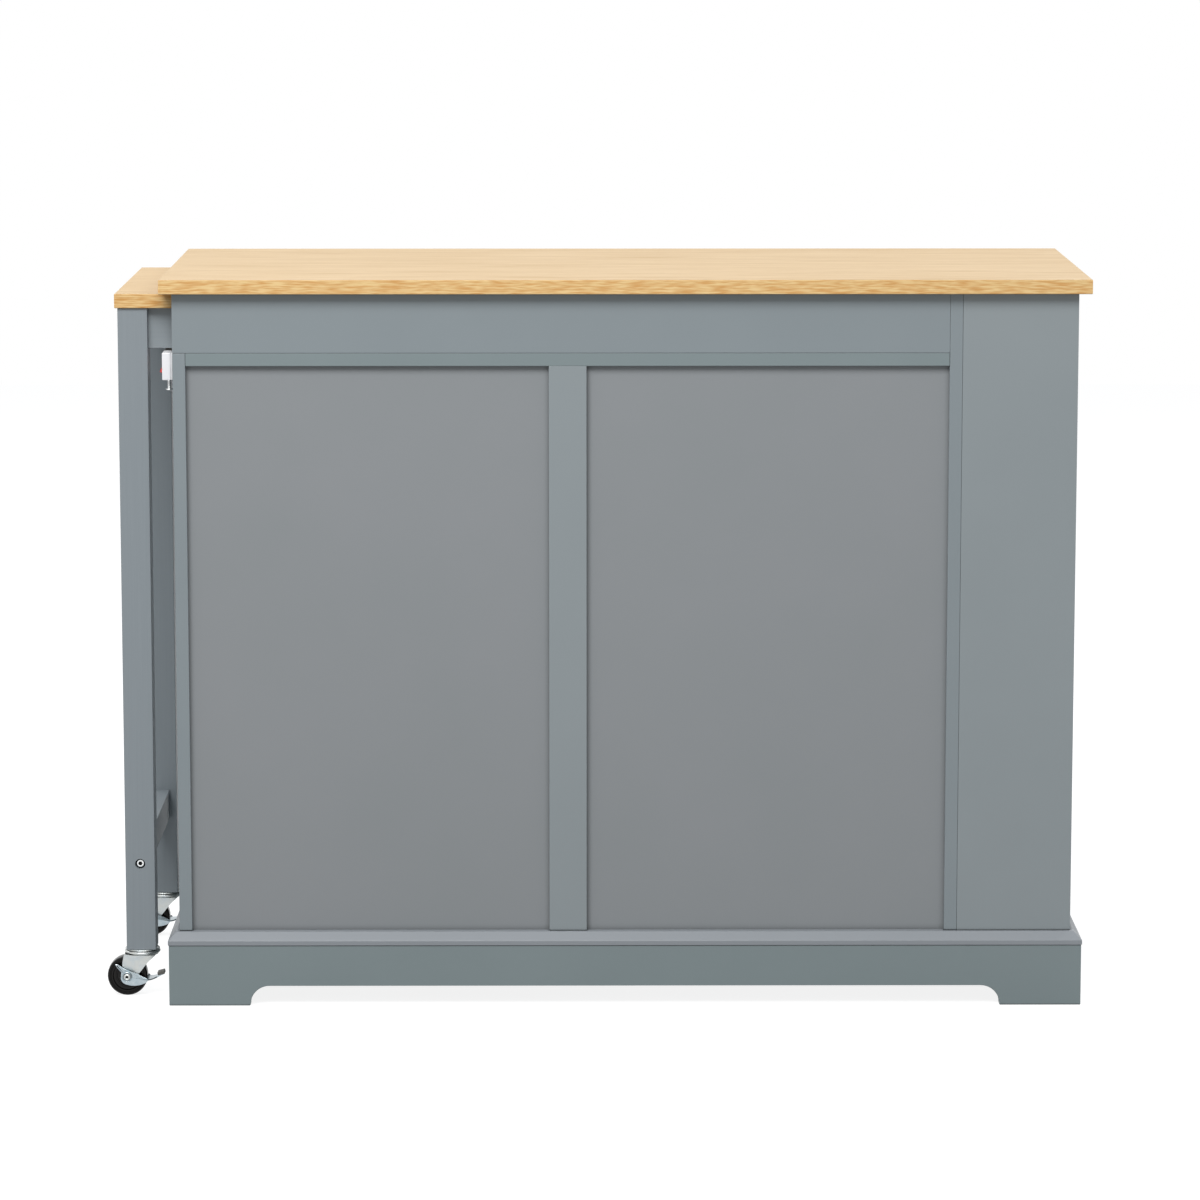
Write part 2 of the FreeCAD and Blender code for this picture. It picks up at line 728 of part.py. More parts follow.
def build_table():
    """Top, legs, aprons, cross rail and stretcher of the sliding table, with its bolts."""
    top = pad(
        "table_board",
        "XY_Plane",
        [
            ("table_left", "table_near"),
            ("table_right", "table_near"),
            ("table_right", "table_far"),
            ("table_left", "table_far"),
        ],
        "table_thick",
    )
    put(top, "0", "0", "table_under")
    dress(top, "Fillet", "board_edge_round", lambda edge: not runs_along(edge, "z"))
    node(top, "table_top")

    apron_z = ("apron_low", "table_under")
    apron_x = ("leg_right", "cross_rail_right")
    node(board("apron_a", apron_x, side("apron_near", 1, "0", "apron_thick"), apron_z), "table_apron_near")
    node(board("apron_b", apron_x, side("apron_far", -1, "0", "apron_thick"), apron_z), "table_apron_far")
    between = ("leg_near_mid + leg_width / 2", "leg_far_mid - leg_width / 2")
    end_x = ("leg_left + apron_recess", "leg_left + apron_recess + apron_thick")
    node(board("apron_end", end_x, between, apron_z), "table_end_apron")
    inner = ("apron_near + apron_thick", "apron_far - apron_thick")
    node(board("cross", ("cross_rail_left", "cross_rail_right"), inner, apron_z), "table_cross_rail")

    bolts = []
    barrels = []
    dowels = []
    tools = []
    head_face = "(bolt_bore_deep - bolt_head_thick)"
    for name, middle, sign in (("near", "leg_near_mid", 1), ("far", "leg_far_mid", -1)):
        face = f"{middle} - leg_width / 2" if sign > 0 else f"{middle} + leg_width / 2"
        joint = f"{middle} + leg_width / 2" if sign > 0 else f"{middle} - leg_width / 2"
        head = ("leg_mid", side(face, sign, head_face, "bolt_bore_deep")[0], "bolt_level")
        shank = ("leg_mid", side(face, sign, "bolt_bore_deep", "bolt_length")[0], "bolt_level")
        mouth = side(face, sign, head_face, f"{head_face} + bolt_socket_deep")
        socket = ("leg_mid", mouth[0], "bolt_level")
        disc = rod(f"bolt_head_{name}", "y", "bolt_head_radius", head, "bolt_head_thick")
        stem = rod(f"bolt_stem_{name}", "y", "bolt_radius", shank, "bolt_length - bolt_bore_deep")
        recess = hexagon(f"bolt_recess_{name}", "y", "bolt_socket_radius", socket, "bolt_socket_deep")
        bolt = cut(f"bolt_{name}", fuse(f"bolt_blank_{name}", [disc, stem]), [recess])
        bolts.append(bolt)
        centre = f"{face} + ({sign}) * (bolt_length - barrel_setback)"
        end = ("stretcher_right - barrel_length", centre, "bolt_level")
        blank = rod(f"barrel_blank_{name}", "x", "barrel_radius", end, "barrel_length")
        barrels.append(cut(f"barrel_{name}", blank, [bolt]))
        foot = ("leg_mid", f"{joint} - dowel_length / 2", "dowel_level")
        dowel = rod(f"dowel_{name}", "y", "dowel_radius", foot, "dowel_length")
        dowels.append(dowel)
        tools += [fuse(f"bolt_and_barrel_{name}", [bolt, blank]), dowel]

        leg = board(
            f"leg_blank_{name}",
            ("leg_left", "leg_right"),
            (f"{middle} - leg_width / 2", f"{middle} + leg_width / 2"),
            ("caster_height", "table_under"),
        )
        mouth = ("leg_mid", side(face, sign, "0", "bolt_bore_deep")[0], "bolt_level")
        bore = rod(f"bolt_bore_{name}", "y", "bolt_bore_radius", mouth, "bolt_bore_deep")
        bored = cut(f"leg_bored_{name}", leg, [fuse(f"bolt_hole_{name}", [bolt, bore])])
        node(cut(f"leg_{name}", bored, [dowel]), f"table_leg_{name}")
    bar = board(
        "stretcher_blank",
        ("stretcher_left", "stretcher_right"),
        between,
        ("stretcher_low", "stretcher_low + stretcher_height"),
    )
    node(cut("stretcher", bar, tools), "leg_stretcher")
    node(group("bolts", bolts), "leg_bolts")
    node(group("barrels", barrels), "barrel_nuts")
    node(group("dowels", dowels), "stretcher_dowels")


def channel(name, base, sign, web, depth, half):
    """Bent steel channel of a runner: an upright web and two flanges, open along the width."""
    x = ("runner_left", "runner_right")
    level = "runner_level"
    return fuse(
        name,
        [
            board(name + "_web", x, side(base, sign, *web), (f"{level} - ({half})", f"{level} + {half}")),
            board(
                name + "_upper",
                x,
                side(base, sign, *depth),
                (f"{level} + {half} - runner_gauge", f"{level} + {half}"),
            ),
            board(
                name + "_lower",
                x,
                side(base, sign, *depth),
                (f"{level} - ({half})", f"{level} - ({half}) + runner_gauge"),
            ),
        ],
    )


def build_runners():
    """Full-extension runners on packers inside the rails: outer, middle and inner members."""
    outer_half = "runner_height / 2"
    middle_half = f"{outer_half} - runner_gauge - running_gap"
    inner_half = f"{middle_half} - runner_gauge - running_gap"
    sections = {
        "outer": (("0", "runner_gauge"), ("0", "runner_outer_flange"), outer_half),
        "middle": (
            ("runner_middle_web", "runner_middle_web + runner_gauge"),
            ("runner_middle_start", "runner_middle_end"),
            middle_half,
        ),
        "inner": (
            ("runner_thick - runner_gauge", "runner_thick"),
            ("runner_inner_start", "runner_thick"),
            inner_half,
        ),
    }
    sides = {"near": ("rail_near_in", "runner_near", 1), "far": ("rail_far_in", "runner_far", -1)}
    packer_x = ("body_left", "runner_right")
    packer_z = ("runner_level - packer_height / 2", "runner_level + packer_height / 2")
    packers = [
        board(f"packer_{name}", packer_x, side(rail, sign, "0", "packer_thick"), packer_z)
        for name, (rail, _, sign) in sides.items()
    ]
    node(group("packers", packers), "runner_packers")
    for kind, section in sections.items():
        pair = [channel(f"{kind}_{name}", base, sign, *section) for name, (_, base, sign) in sides.items()]
        node(group(f"{kind}_pair", pair), f"runner_{kind}_members")


CHEEK_CURVE_SHARES = ((0.0, 0.0), (0.17, 0.22), (0.34, 0.52), (0.58, 0.8), (1.0, 1.0))
CHEEK_TOP_SHARE = 0.8


def build_caster(name, y):
    """Swivel caster under one leg: mount, fork, axle, wheel and brake lever."""
    mount = fuse(
        f"mount_blank_{name}",
        [
            rod(f"mount_disc_{name}", "z", "mount_radius", ("leg_mid", y, "mount_under"), "mount_thick"),
            rod(
                f"kingpin_{name}",
                "z",
                "kingpin_radius",
                ("leg_mid", y, "crown_under - swivel_gap"),
                "mount_under - crown_under + swivel_gap",
            ),
            rod(
                f"kingpin_head_{name}",
                "z",
                "kingpin_head_radius",
                ("leg_mid", y, "crown_under - swivel_gap - kingpin_head_thick"),
                "kingpin_head_thick",
            ),
        ],
    )
    node(mount, f"caster_mount_{name}")

    crown_left = f"leg_mid - {CHEEK_TOP_SHARE} * crown_radius"
    crown_right = f"leg_mid + {CHEEK_TOP_SHARE} * crown_radius"
    lobe_right = "wheel_x + cheek_lobe_radius"
    outline = [("wheel_x - cheek_lobe_radius", "wheel_z")]
    for across, up in CHEEK_CURVE_SHARES:
        outline.append(
            (
                f"{lobe_right} + {across} * ({crown_right} - ({lobe_right}))",
                f"wheel_z + {up} * (crown_under - wheel_z)",
            )
        )
    outline.append((crown_left, "crown_under"))
    pieces = [rod(f"crown_{name}", "z", "crown_radius", ("leg_mid", y, "crown_under"), "crown_thick")]
    for mark, low in (("a", f"{y} - cheek_outer"), ("b", f"{y} + cheek_inner")):
        cheek = pad(f"cheek_{name}_{mark}", "XZ_Plane", outline, "cheek_thick", True)
        put(cheek, "0", low, "0")
        start = ("wheel_x", low, "wheel_z")
        lobe = rod(f"cheek_lobe_{name}_{mark}", "y", "cheek_lobe_radius", start, "cheek_thick")
        pieces += [cheek, lobe]
    bore = rod(
        f"fork_bore_{name}",
        "y",
        "axle_radius + pin_play",
        ("wheel_x", f"{y} - cheek_outer", "wheel_z"),
        "2 * cheek_outer",
    )
    king_bore = rod(
        f"crown_bore_{name}", "z", "kingpin_radius + pin_play", ("leg_mid", y, "crown_under"), "crown_thick"
    )
    node(cut(f"fork_{name}", fuse(f"fork_blank_{name}", pieces), [bore, king_bore]), f"caster_fork_{name}")

    near_end = ("wheel_x", f"{y} - nut_seat", "wheel_z")
    shaft = rod(f"shaft_{name}", "y", "axle_radius", near_end, "2 * nut_seat")
    ends = [
        hexagon(f"nut_{name}_{mark}", "y", "nut_radius", ("wheel_x", low, "wheel_z"), "nut_thick")
        for mark, low in (("a", f"{y} - nut_seat - nut_thick"), ("b", f"{y} + nut_seat"))
    ]
    node(fuse(f"axle_{name}", [shaft] + ends), f"caster_axle_{name}")

    bore_radius = "axle_radius + pin_play"
    hub = "cheek_inner - running_gap"
    dish = "wheel_width / 2 - wheel_dish_deep"
    tread = "wheel_dia / 2"
    half = [
        (bore_radius, hub),
        ("wheel_hub_radius", hub),
        ("wheel_hub_radius", dish),
        ("wheel_rim_radius", dish),
        ("wheel_rim_radius", "wheel_width / 2"),
        (f"{tread} - tread_round", "wheel_width / 2"),
        (tread, "wheel_width / 2 - tread_round"),
    ]
    outline = half + [(across, f"0 - ({up})") for across, up in reversed(half)]
    wheel = turn(spin(f"wheel_{name}", outline), "y")
    put(wheel, "wheel_x", y, "wheel_z")
    node(wheel, f"caster_wheel_{name}")
    build_brake(name, y)


def build_brake(name, y):
    """Brake lever: a plate each side of the fork, turning on the axle, and the pedal between them."""
    arm = "brake_arm_width"
    outline = [
        ("wheel_x - brake_lobe_radius", "wheel_z"),
        ("wheel_x", "wheel_z - brake_lobe_radius"),
        (f"wheel_x + brake_tip_reach - {arm}", f"wheel_z - {arm} / 2"),
        ("wheel_x + brake_tip_reach", "wheel_z - pedal_thick"),
        ("wheel_x + brake_tip_reach", f"wheel_z + {arm} / 4"),
        ("wheel_x + brake_lobe_radius", "wheel_z + brake_lobe_radius"),
        ("wheel_x", "wheel_z + brake_lobe_radius"),
        (f"wheel_x - brake_arm_reach + {arm}", "wheel_z + brake_arm_rise"),
        ("wheel_x - brake_arm_reach", f"wheel_z + brake_arm_rise - {arm} / 2"),
    ]
    pieces = []
    for mark, low in (("a", f"{y} - brake_outer"), ("b", f"{y} + brake_inner")):
        plate = pad(f"brake_plate_{name}_{mark}", "XZ_Plane", outline, "brake_thick", True)
        put(plate, "0", low, "0")
        start = ("wheel_x", low, "wheel_z")
        lobe = rod(f"brake_lobe_{name}_{mark}", "y", "brake_lobe_radius", start, "brake_thick")
        pieces += [plate, lobe]
    tip = "wheel_x + brake_tip_reach"
    end = "wheel_x + pedal_reach"
    low = "wheel_z - pedal_thick"
    high = "wheel_z + pedal_rise - pedal_thick"
    pedal = pad(
        f"pedal_{name}",
        "XZ_Plane",
        [
            (f"{tip} - pedal_thick / 2", f"{low}"),
            (f"{tip} + pedal_thick", f"{low}"),
            (end, high),
            (end, f"{high} + pedal_thick + pedal_pad_thick"),
            (f"{end} - pedal_pad_length", f"{high} + pedal_pad_thick"),
            (f"{end} - pedal_pad_length", f"{high}"),
            (f"{tip} - pedal_thick / 2", f"{low} + pedal_thick"),
        ],
        "2 * brake_outer",
        True,
    )
    put(pedal, "0", f"{y} - brake_outer", "0")
    bore = rod(
        f"brake_bore_{name}",
        "y",
        "axle_radius + pin_play",
        ("wheel_x", f"{y} - brake_outer", "wheel_z"),
        "2 * brake_outer",
    )
    node(cut(f"brake_{name}", fuse(f"brake_blank_{name}", pieces + [pedal]), [bore]), f"brake_lever_{name}")


def build_door(name, hinge_face, far_face, sign):
    """Framed door with its knob, its hinge leaves, the frame's leaves and the hinge pins."""
    hinge_edge = f"{hinge_face} + {sign} * hinge_side_gap"
    free_edge = f"{far_face} - ({sign}) * door_gap"
    low_x, high_x = (hinge_edge, free_edge) if sign > 0 else (free_edge, hinge_edge)

    def rectangle(inset):
        return [
            (f"{low_x} + {inset}", f"door_low + {inset}"),
            (f"{high_x} - {inset}", f"door_low + {inset}"),
            (f"{high_x} - {inset}", f"door_high - {inset}"),
            (f"{low_x} + {inset}", f"door_high - {inset}"),
        ]

    door = pad(f"door_slab_{name}", "XZ_Plane", rectangle("0"), "door_thick")
    field = draw(door, "XZ_Plane", f"door_field_{name}", rectangle("door_frame_width"))
    pocket = door.newObject("PartDesign::Pocket", f"door_pocket_{name}")
    pocket.Profile = field
    pocket.Reversed = True
    bind(pocket, Length="door_recess")
    door.Tip = pocket
    put(door, "0", "face_far", "0")
    node(door, f"door_{name}")

    neck_end = "knob_proud - knob_head_thick"
    knob = turn(
        spin(
            f"knob_{name}",
            [
                ("0", "0"),
                ("knob_base_radius", "0"),
                ("knob_base_radius", "knob_base_thick"),
                ("knob_neck_radius", "2 * knob_base_thick"),
                ("knob_neck_radius", neck_end),
                ("knob_radius", f"{neck_end} + knob_head_thick / 3"),
                ("knob_radius", f"{neck_end} + 2 * knob_head_thick / 3"),
                ("knob_radius * 2 / 3", "knob_proud"),
                ("0", "knob_proud"),
            ],
        ),
        "y",
    )
    knob_x = f"{free_edge} - ({sign}) * door_frame_width / 2"
    put(knob, knob_x, "face_far", "door_high - knob_height_from_top")
    node(knob, f"door_knob_{name}")

    axis_x = f"{hinge_face} + {sign} * hinge_axis_in"
    frame_leaves = []
    door_leaves = []
    pins = []
    levels = {"low": "door_low + hinge_end_inset", "high": "door_high - hinge_end_inset - hinge_height"}
    for mark, low in levels.items():
        leaves = build_hinge(f"{name}_{mark}", hinge_face, sign, axis_x, low)
        frame_leaves.append(leaves["frame"])
        door_leaves.append(leaves["door"])
        pins.append(build_hinge_pin(f"{name}_{mark}", axis_x, low))
    node(group(f"door_leaf_pair_{name}", door_leaves), f"door_hinge_leaves_{name}")
    return frame_leaves, pins


def build_hinge(tag, hinge_face, sign, axis_x, low):
    """Frame leaf and door leaf of a butt hinge, whose knuckles share one axis."""
    high = f"{low} + hinge_height"
    lower_joint = f"{low} + hinge_knuckle_length"
    upper_joint = f"{high} - hinge_knuckle_length"
    knuckles = [
        ("frame", low, f"{lower_joint} - running_gap / 2"),
        ("door", f"{lower_joint} + running_gap / 2", f"{upper_joint} - running_gap / 2"),
        ("frame", f"{upper_joint} + running_gap / 2", high),
    ]
    leaf_x = {
        "frame": side(hinge_face, sign, "0", "hinge_leaf_thick"),
        "door": side(hinge_face, sign, "hinge_side_gap - hinge_leaf_thick", "hinge_side_gap"),
    }
    leaf_y = ("face_far - hinge_leaf_deep", "face_far - seat_gap")
    web_y = ("face_far - seat_gap", "hinge_y")
    solids = {kind: [board(f"leaf_{kind}_{tag}", span, leaf_y, (low, high))] for kind, span in leaf_x.items()}
    for index, (kind, start, end) in enumerate(knuckles):
        foot = (axis_x, "hinge_y", start)
        solids[kind] += [
            board(f"web_{tag}_{index}", leaf_x[kind], web_y, (start, end)),
            rod(f"knuckle_{tag}_{index}", "z", "hinge_knuckle_radius", foot, f"{end} - ({start})"),
        ]
    leaves = {}
    for kind, pieces in solids.items():
        foot = (axis_x, "hinge_y", low)
        bore = rod(f"bore_{kind}_{tag}", "z", "hinge_pin_radius + pin_play", foot, "hinge_height")
        leaves[kind] = cut(f"{kind}_leaf_{tag}", fuse(f"{kind}_leaf_blank_{tag}", pieces), [bore])
    return leaves


def build_hinge_pin(tag, axis_x, low):
    """Pin of a butt hinge, with a tip above and below the knuckles."""
    foot = (axis_x, "hinge_y", low)
    top = (axis_x, "hinge_y", f"{low} + hinge_height")
    under = (axis_x, "hinge_y", f"{low} - hinge_tip_thick")
    return fuse(
        f"hinge_pin_{tag}",
        [
            rod(f"hinge_rod_{tag}", "z", "hinge_pin_radius", foot, "hinge_height"),
            rod(f"hinge_tip_high_{tag}", "z", "hinge_knuckle_radius", top, "hinge_tip_thick"),
            rod(f"hinge_tip_low_{tag}", "z", "hinge_knuckle_radius", under, "hinge_tip_thick"),
        ],
    )


def build_doors():
    """Both doors, with the leaves and pins that stay on the cabinet, and a catch behind each."""
    leaves = []
    pins = []
    for name, hinge_face, far_face, sign in (
        ("left", "side_inner", "part_left", 1),
        ("right", "divider_left", "part_right", -1),
    ):
        frame_leaves, hinge_pins = build_door(name, hinge_face, far_face, sign)
        leaves += frame_leaves
        pins += hinge_pins
    node(group("frame_leaves", leaves), "frame_hinge_leaves")
    node(group("hinge_pin_set", pins), "hinge_pins")
    catches = [
        board(
            f"catch_{mark}",
            side(face, sign, "0", "catch_width"),
            ("door_inner - seat_gap - catch_deep", "door_inner - seat_gap"),
            ("deck_under - catch_height", "deck_under"),
        )
        for mark, face, sign in (("left", "part_left", -1), ("right", "part_right", 1))
    ]
    node(group("catches", catches), "door_catches")


def build_power_strip():
    """Power strip on the left side panel: housing, rocker, clamp screw and cord gland."""
    shell = board(
        "strip_blank", ("strip_outer", "body_left"), ("strip_near", "strip_far"), ("strip_low", "strip_high")
    )
    pocket_deep = "rocker_pivot_deep + rocker_back + rocker_play"
    tools = [
        board(
            "rocker_pocket",
            ("strip_outer", f"strip_outer + {pocket_deep}"),
            ("rocker_near - rocker_play", "rocker_far + rocker_play"),
            ("strip_level - rocker_radius", "strip_level + rocker_radius"),
        )
    ]
    for index, share in enumerate(OUTLET_SHARES):
        middle = f"strip_near + {share} * strip_length"
        for mark, sign in (("a", 1), ("b", -1)):
            centre = f"{middle} + {sign} * outlet_slot_apart / 2"
            tools.append(
                board(
                    f"slot_{index}_{mark}",
                    ("strip_outer", "strip_outer + outlet_slot_deep"),
                    (f"{centre} - outlet_slot_wide / 2", f"{centre} + outlet_slot_wide / 2"),
                    ("strip_level", "strip_level + outlet_slot_high"),
                )
            )
        start = ("strip_outer", middle, "strip_level + outlet_slot_high / 2 - outlet_pin_drop")
        tools.append(rod(f"slot_{index}_pin", "x", "outlet_pin_radius", start, "outlet_slot_deep"))
    node(cut("strip", shell, tools), "strip_housing")

    screw_x = "strip_outer + strip_screw_inset"
    screw_y = "strip_near + strip_screw_inset"
    tip = "strip_low - strip_screw_length"
    screw = fuse(
        "strip_screw_blank",
        [
            rod("strip_screw_stem", "z", "strip_screw_radius", (screw_x, screw_y, tip), "strip_screw_length"),
            rod(
                "strip_screw_head",
                "z",
                "strip_screw_head_radius",
                (screw_x, screw_y, tip),
                "strip_screw_head_thick",
            ),
        ],
    )
    node(screw, "strip_clamp_screw")
    gland_x = "strip_outer + strip_proud / 2"
    node(
        rod("gland", "y", "strip_gland_radius", (gland_x, "strip_far", "strip_level"), "strip_gland_length"),
        "strip_cord_gland",
    )
    build_rocker()


def build_rocker():
    """Rocker of the power strip: a two-faced key that tips about its pivot, its lower half out at rest."""
    radius = number("rocker_radius")
    tilt = ROCKER_THROW_DEG / 2

    def polar(length, degrees):
        angle = math.radians(degrees)
        return FreeCAD.Vector(-length * math.cos(angle), 0, length * math.sin(angle))

    points = [
        polar(radius, ROCKER_SPREAD_DEG + tilt),
        polar(number("rocker_ridge"), tilt),
        polar(radius, tilt - ROCKER_SPREAD_DEG),
        polar(-number("rocker_back"), tilt),
    ]
    wire = Part.makePolygon(points + points[:1])
    key = Part.Face(wire).extrude(FreeCAD.Vector(0, number("rocker_width"), 0))
    item = fresh("Part::Feature", "rocker")
    item.Shape = key
    item.Placement = FreeCAD.Placement(
        FreeCAD.Vector(
            number("strip_outer") + number("rocker_pivot_deep"),
            number("rocker_near"),
            number("strip_level"),
        ),
        FreeCAD.Rotation(),
    )
    node(item, "power_rocker")


def build_island():
    """Every piece of the island."""
    build_worktop()
    build_base()
    screws = build_screws()
    build_uprights(screws)
    build_deck(screws)
    build_closed_face()
    build_shelves()
    build_brackets()
    build_table()
    build_runners()
    build_caster("near", "leg_near_mid")
    build_caster("far", "leg_far_mid")
    build_doors()
    build_power_strip()


def check_island():
    """Stop where an object failed or a piece has no sound shape."""
    for item in document.Objects:
        if "Invalid" in item.State or "Error" in item.State:
            raise SystemExit(f"{item.Name} failed: {item.State}")
    for item in nodes:
        shape = item.Shape
        if shape.isNull() or not shape.isValid() or not shape.Solids:
            raise SystemExit(f"{item.Label} has no sound shape")


def check_pockets():
    """Stop where a door's field was cut away from the solid."""
    for item in nodes:
        if item.Label in ("door_left", "door_right"):
            box = item.Shape.BoundBox
            blank = box.XLength * box.YLength * box.ZLength
            if not 0.7 * blank < item.Shape.Volume < 0.95 * blank:
                raise SystemExit(f"{item.Label} has no recessed field")


build_island()
document.recompute()
check_island()
check_pockets()
os.makedirs("parts", exist_ok=True)
for item in nodes:
    item.Shape.exportStep(f"parts/{item.Label}.step")
print(len(nodes), "nodes,", sum(len(item.Shape.Solids) for item in nodes), "solids")
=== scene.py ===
"""Looks of a kitchen island with a sliding side table.

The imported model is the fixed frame. Its boards keep their own meshes and get softened edges and a
finish. The casters, power strip, doors, knobs, catches, bolts, screws and hinge pins are modelled
here in full and stand for the plain solids. Lengths are millimetres until a piece is made.
"""

import logging
import math
from dataclasses import dataclass
from enum import Enum
from typing import Any, Sequence

import bmesh
import bpy
from mathutils import Matrix, Vector
from mathutils.kdtree import KDTree


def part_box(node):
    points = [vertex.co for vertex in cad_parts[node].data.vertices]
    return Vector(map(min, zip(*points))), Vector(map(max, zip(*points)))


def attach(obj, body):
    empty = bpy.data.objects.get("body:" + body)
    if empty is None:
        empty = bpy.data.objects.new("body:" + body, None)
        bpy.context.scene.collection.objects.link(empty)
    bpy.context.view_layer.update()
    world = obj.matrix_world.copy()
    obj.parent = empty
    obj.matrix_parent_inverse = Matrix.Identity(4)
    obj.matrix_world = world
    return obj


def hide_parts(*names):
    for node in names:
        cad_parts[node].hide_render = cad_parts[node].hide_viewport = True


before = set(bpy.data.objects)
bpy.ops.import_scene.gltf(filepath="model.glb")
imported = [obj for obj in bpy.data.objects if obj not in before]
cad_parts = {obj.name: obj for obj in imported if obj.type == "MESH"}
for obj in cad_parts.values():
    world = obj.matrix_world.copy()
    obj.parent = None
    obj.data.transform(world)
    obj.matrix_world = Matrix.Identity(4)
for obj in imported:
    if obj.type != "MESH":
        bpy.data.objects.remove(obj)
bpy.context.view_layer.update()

log = logging.getLogger("island")
MM_PER_M = 1000.0
# The closed face's side of a piece, and the other.
BOTH_SIDES = (-1, 1)
# Edges that turn by less than this are shaded smooth, unless a piece says otherwise.
SMOOTH_DEG = 35.0

BMesh = bmesh.types.BMesh
NodeTree = bpy.types.NodeTree
Loop = Sequence[Vector]
Flat = Sequence[tuple[float, float]]
Outline = list[tuple[float, float]]


class Axis(Enum):
    """Axis that a turned or cut-out piece is made along, with the two directions across it."""

    X = (Vector((1, 0, 0)), Vector((0, 1, 0)), Vector((0, 0, 1)))
    Y = (Vector((0, 1, 0)), Vector((1, 0, 0)), Vector((0, 0, 1)))
    Z = (Vector((0, 0, 1)), Vector((1, 0, 0)), Vector((0, 1, 0)))

    def point(self, along: float, across: float, up: float) -> Vector:
        """Point at a distance along the axis and two distances across it."""
        return self.value[0] * along + self.value[1] * across + self.value[2] * up


class Drive(Enum):
    """Recess in a screw's head."""

    HEX = "hex"
    CROSS = "cross"


def linear(colour: str) -> tuple[float, float, float, float]:
    """Linear colour of an sRGB hex value.

    Args:
        colour: six hex digits after a hash mark.

    Returns:
        Red, green, blue and alpha as the shaders take them.
    """
    shares = [int(colour[i : i + 2], 16) / 255 for i in (1, 3, 5)]
    red, green, blue = (s / 12.92 if s <= 0.04045 else ((s + 0.055) / 1.055) ** 2.4 for s in shares)
    return red, green, blue, 1.0


def bare_tree(owner: Any) -> NodeTree:
    """Empty the node tree of a material or a world.

    Args:
        owner: the material or the world.

    Returns:
        Its tree.
    """
    owner.use_nodes = True
    owner.node_tree.nodes.clear()
    return owner.node_tree


def add_node(
    tree: NodeTree, kind: str, settings: dict | None = None, links: dict | None = None
) -> Any:
    """Add one shader node.

    Args:
        tree: the node tree that gets it.
        kind: the node's type.
        settings: values by property name, or by the name or place of an input.
        links: output sockets by the name or place of the input that they feed.

    Returns:
        The node.
    """
    node = tree.nodes.new(kind)
    for key, value in (settings or {}).items():
        if isinstance(key, str) and hasattr(node, key):
            setattr(node, key, value)
        else:
            node.inputs[key].default_value = value
    for key, socket in (links or {}).items():
        tree.links.new(socket, node.inputs[key])
    return node


# Places of the colour sockets on a mix node set to colours.
MIX_FIRST, MIX_SECOND, MIX_RESULT = 6, 7, 2
# The same on a mix node set to vectors.
MIX_FROM, MIX_TO, MIX_VECTOR = 4, 5, 1


def tones(first: str, second: str) -> dict:
    """Settings of a mix node that runs from one sRGB colour to another."""
    return {"data_type": "RGBA", MIX_FIRST: linear(first), MIX_SECOND: linear(second)}


def pattern(
    tree: NodeTree, pitches: Sequence[float], detail: float, shift: float = 0.0,
    source: Any = None, bend: tuple[Any, float] | None = None, **more: float,
) -> Any:
    """Cloudy pattern over the island, at its real scale.

    Args:
        tree: the node tree.
        pitches: the repeat along X, Y and Z of the source, in millimetres.
        detail: how many finer layers it has.
        shift: move of the pattern in repeats, so that two boards differ.
        source: socket of the place in metres, or nothing for the island's own.
        bend: socket that moves the pattern across X, and by how many repeats.
        more: further settings of the noise.

    Returns:
        The noise node.
    """
    place = source or add_node(tree, "ShaderNodeTexCoord").outputs["Object"]
    settings = {"Scale": [MM_PER_M / pitch for pitch in pitches], "Location": (shift,) * 3}
    space = add_node(tree, "ShaderNodeMapping", settings, {"Vector": place}).outputs["Vector"]
    if bend:
        push = {"operation": "MULTIPLY_ADD", 1: (0.0, bend[1], bend[1])}
        space = add_node(tree, "ShaderNodeVectorMath", push, {0: bend[0], 2: space}).outputs[0]
    settings = {"Scale": 1.0, "Detail": detail, **more}
    return add_node(tree, "ShaderNodeTexNoise", settings, {"Vector": space})


def mottle(
    tree: NodeTree, pitches: Sequence[float], detail: float, first: str, second: str
) -> tuple[Any, Any]:
    """Two colours that drift into each other over a pattern.

    Args:
        tree: the node tree.
        pitches: the pattern's repeat along X, Y and Z, in millimetres.
        detail: how many finer layers it has.
        first: one sRGB colour.
        second: the other.

    Returns:
        The output sockets of the colour and of the pattern.
    """
    drift = pattern(tree, pitches, detail).outputs["Fac"]
    mixed = add_node(tree, "ShaderNodeMix", tones(first, second), {"Factor": drift})
    return mixed.outputs[MIX_RESULT], drift


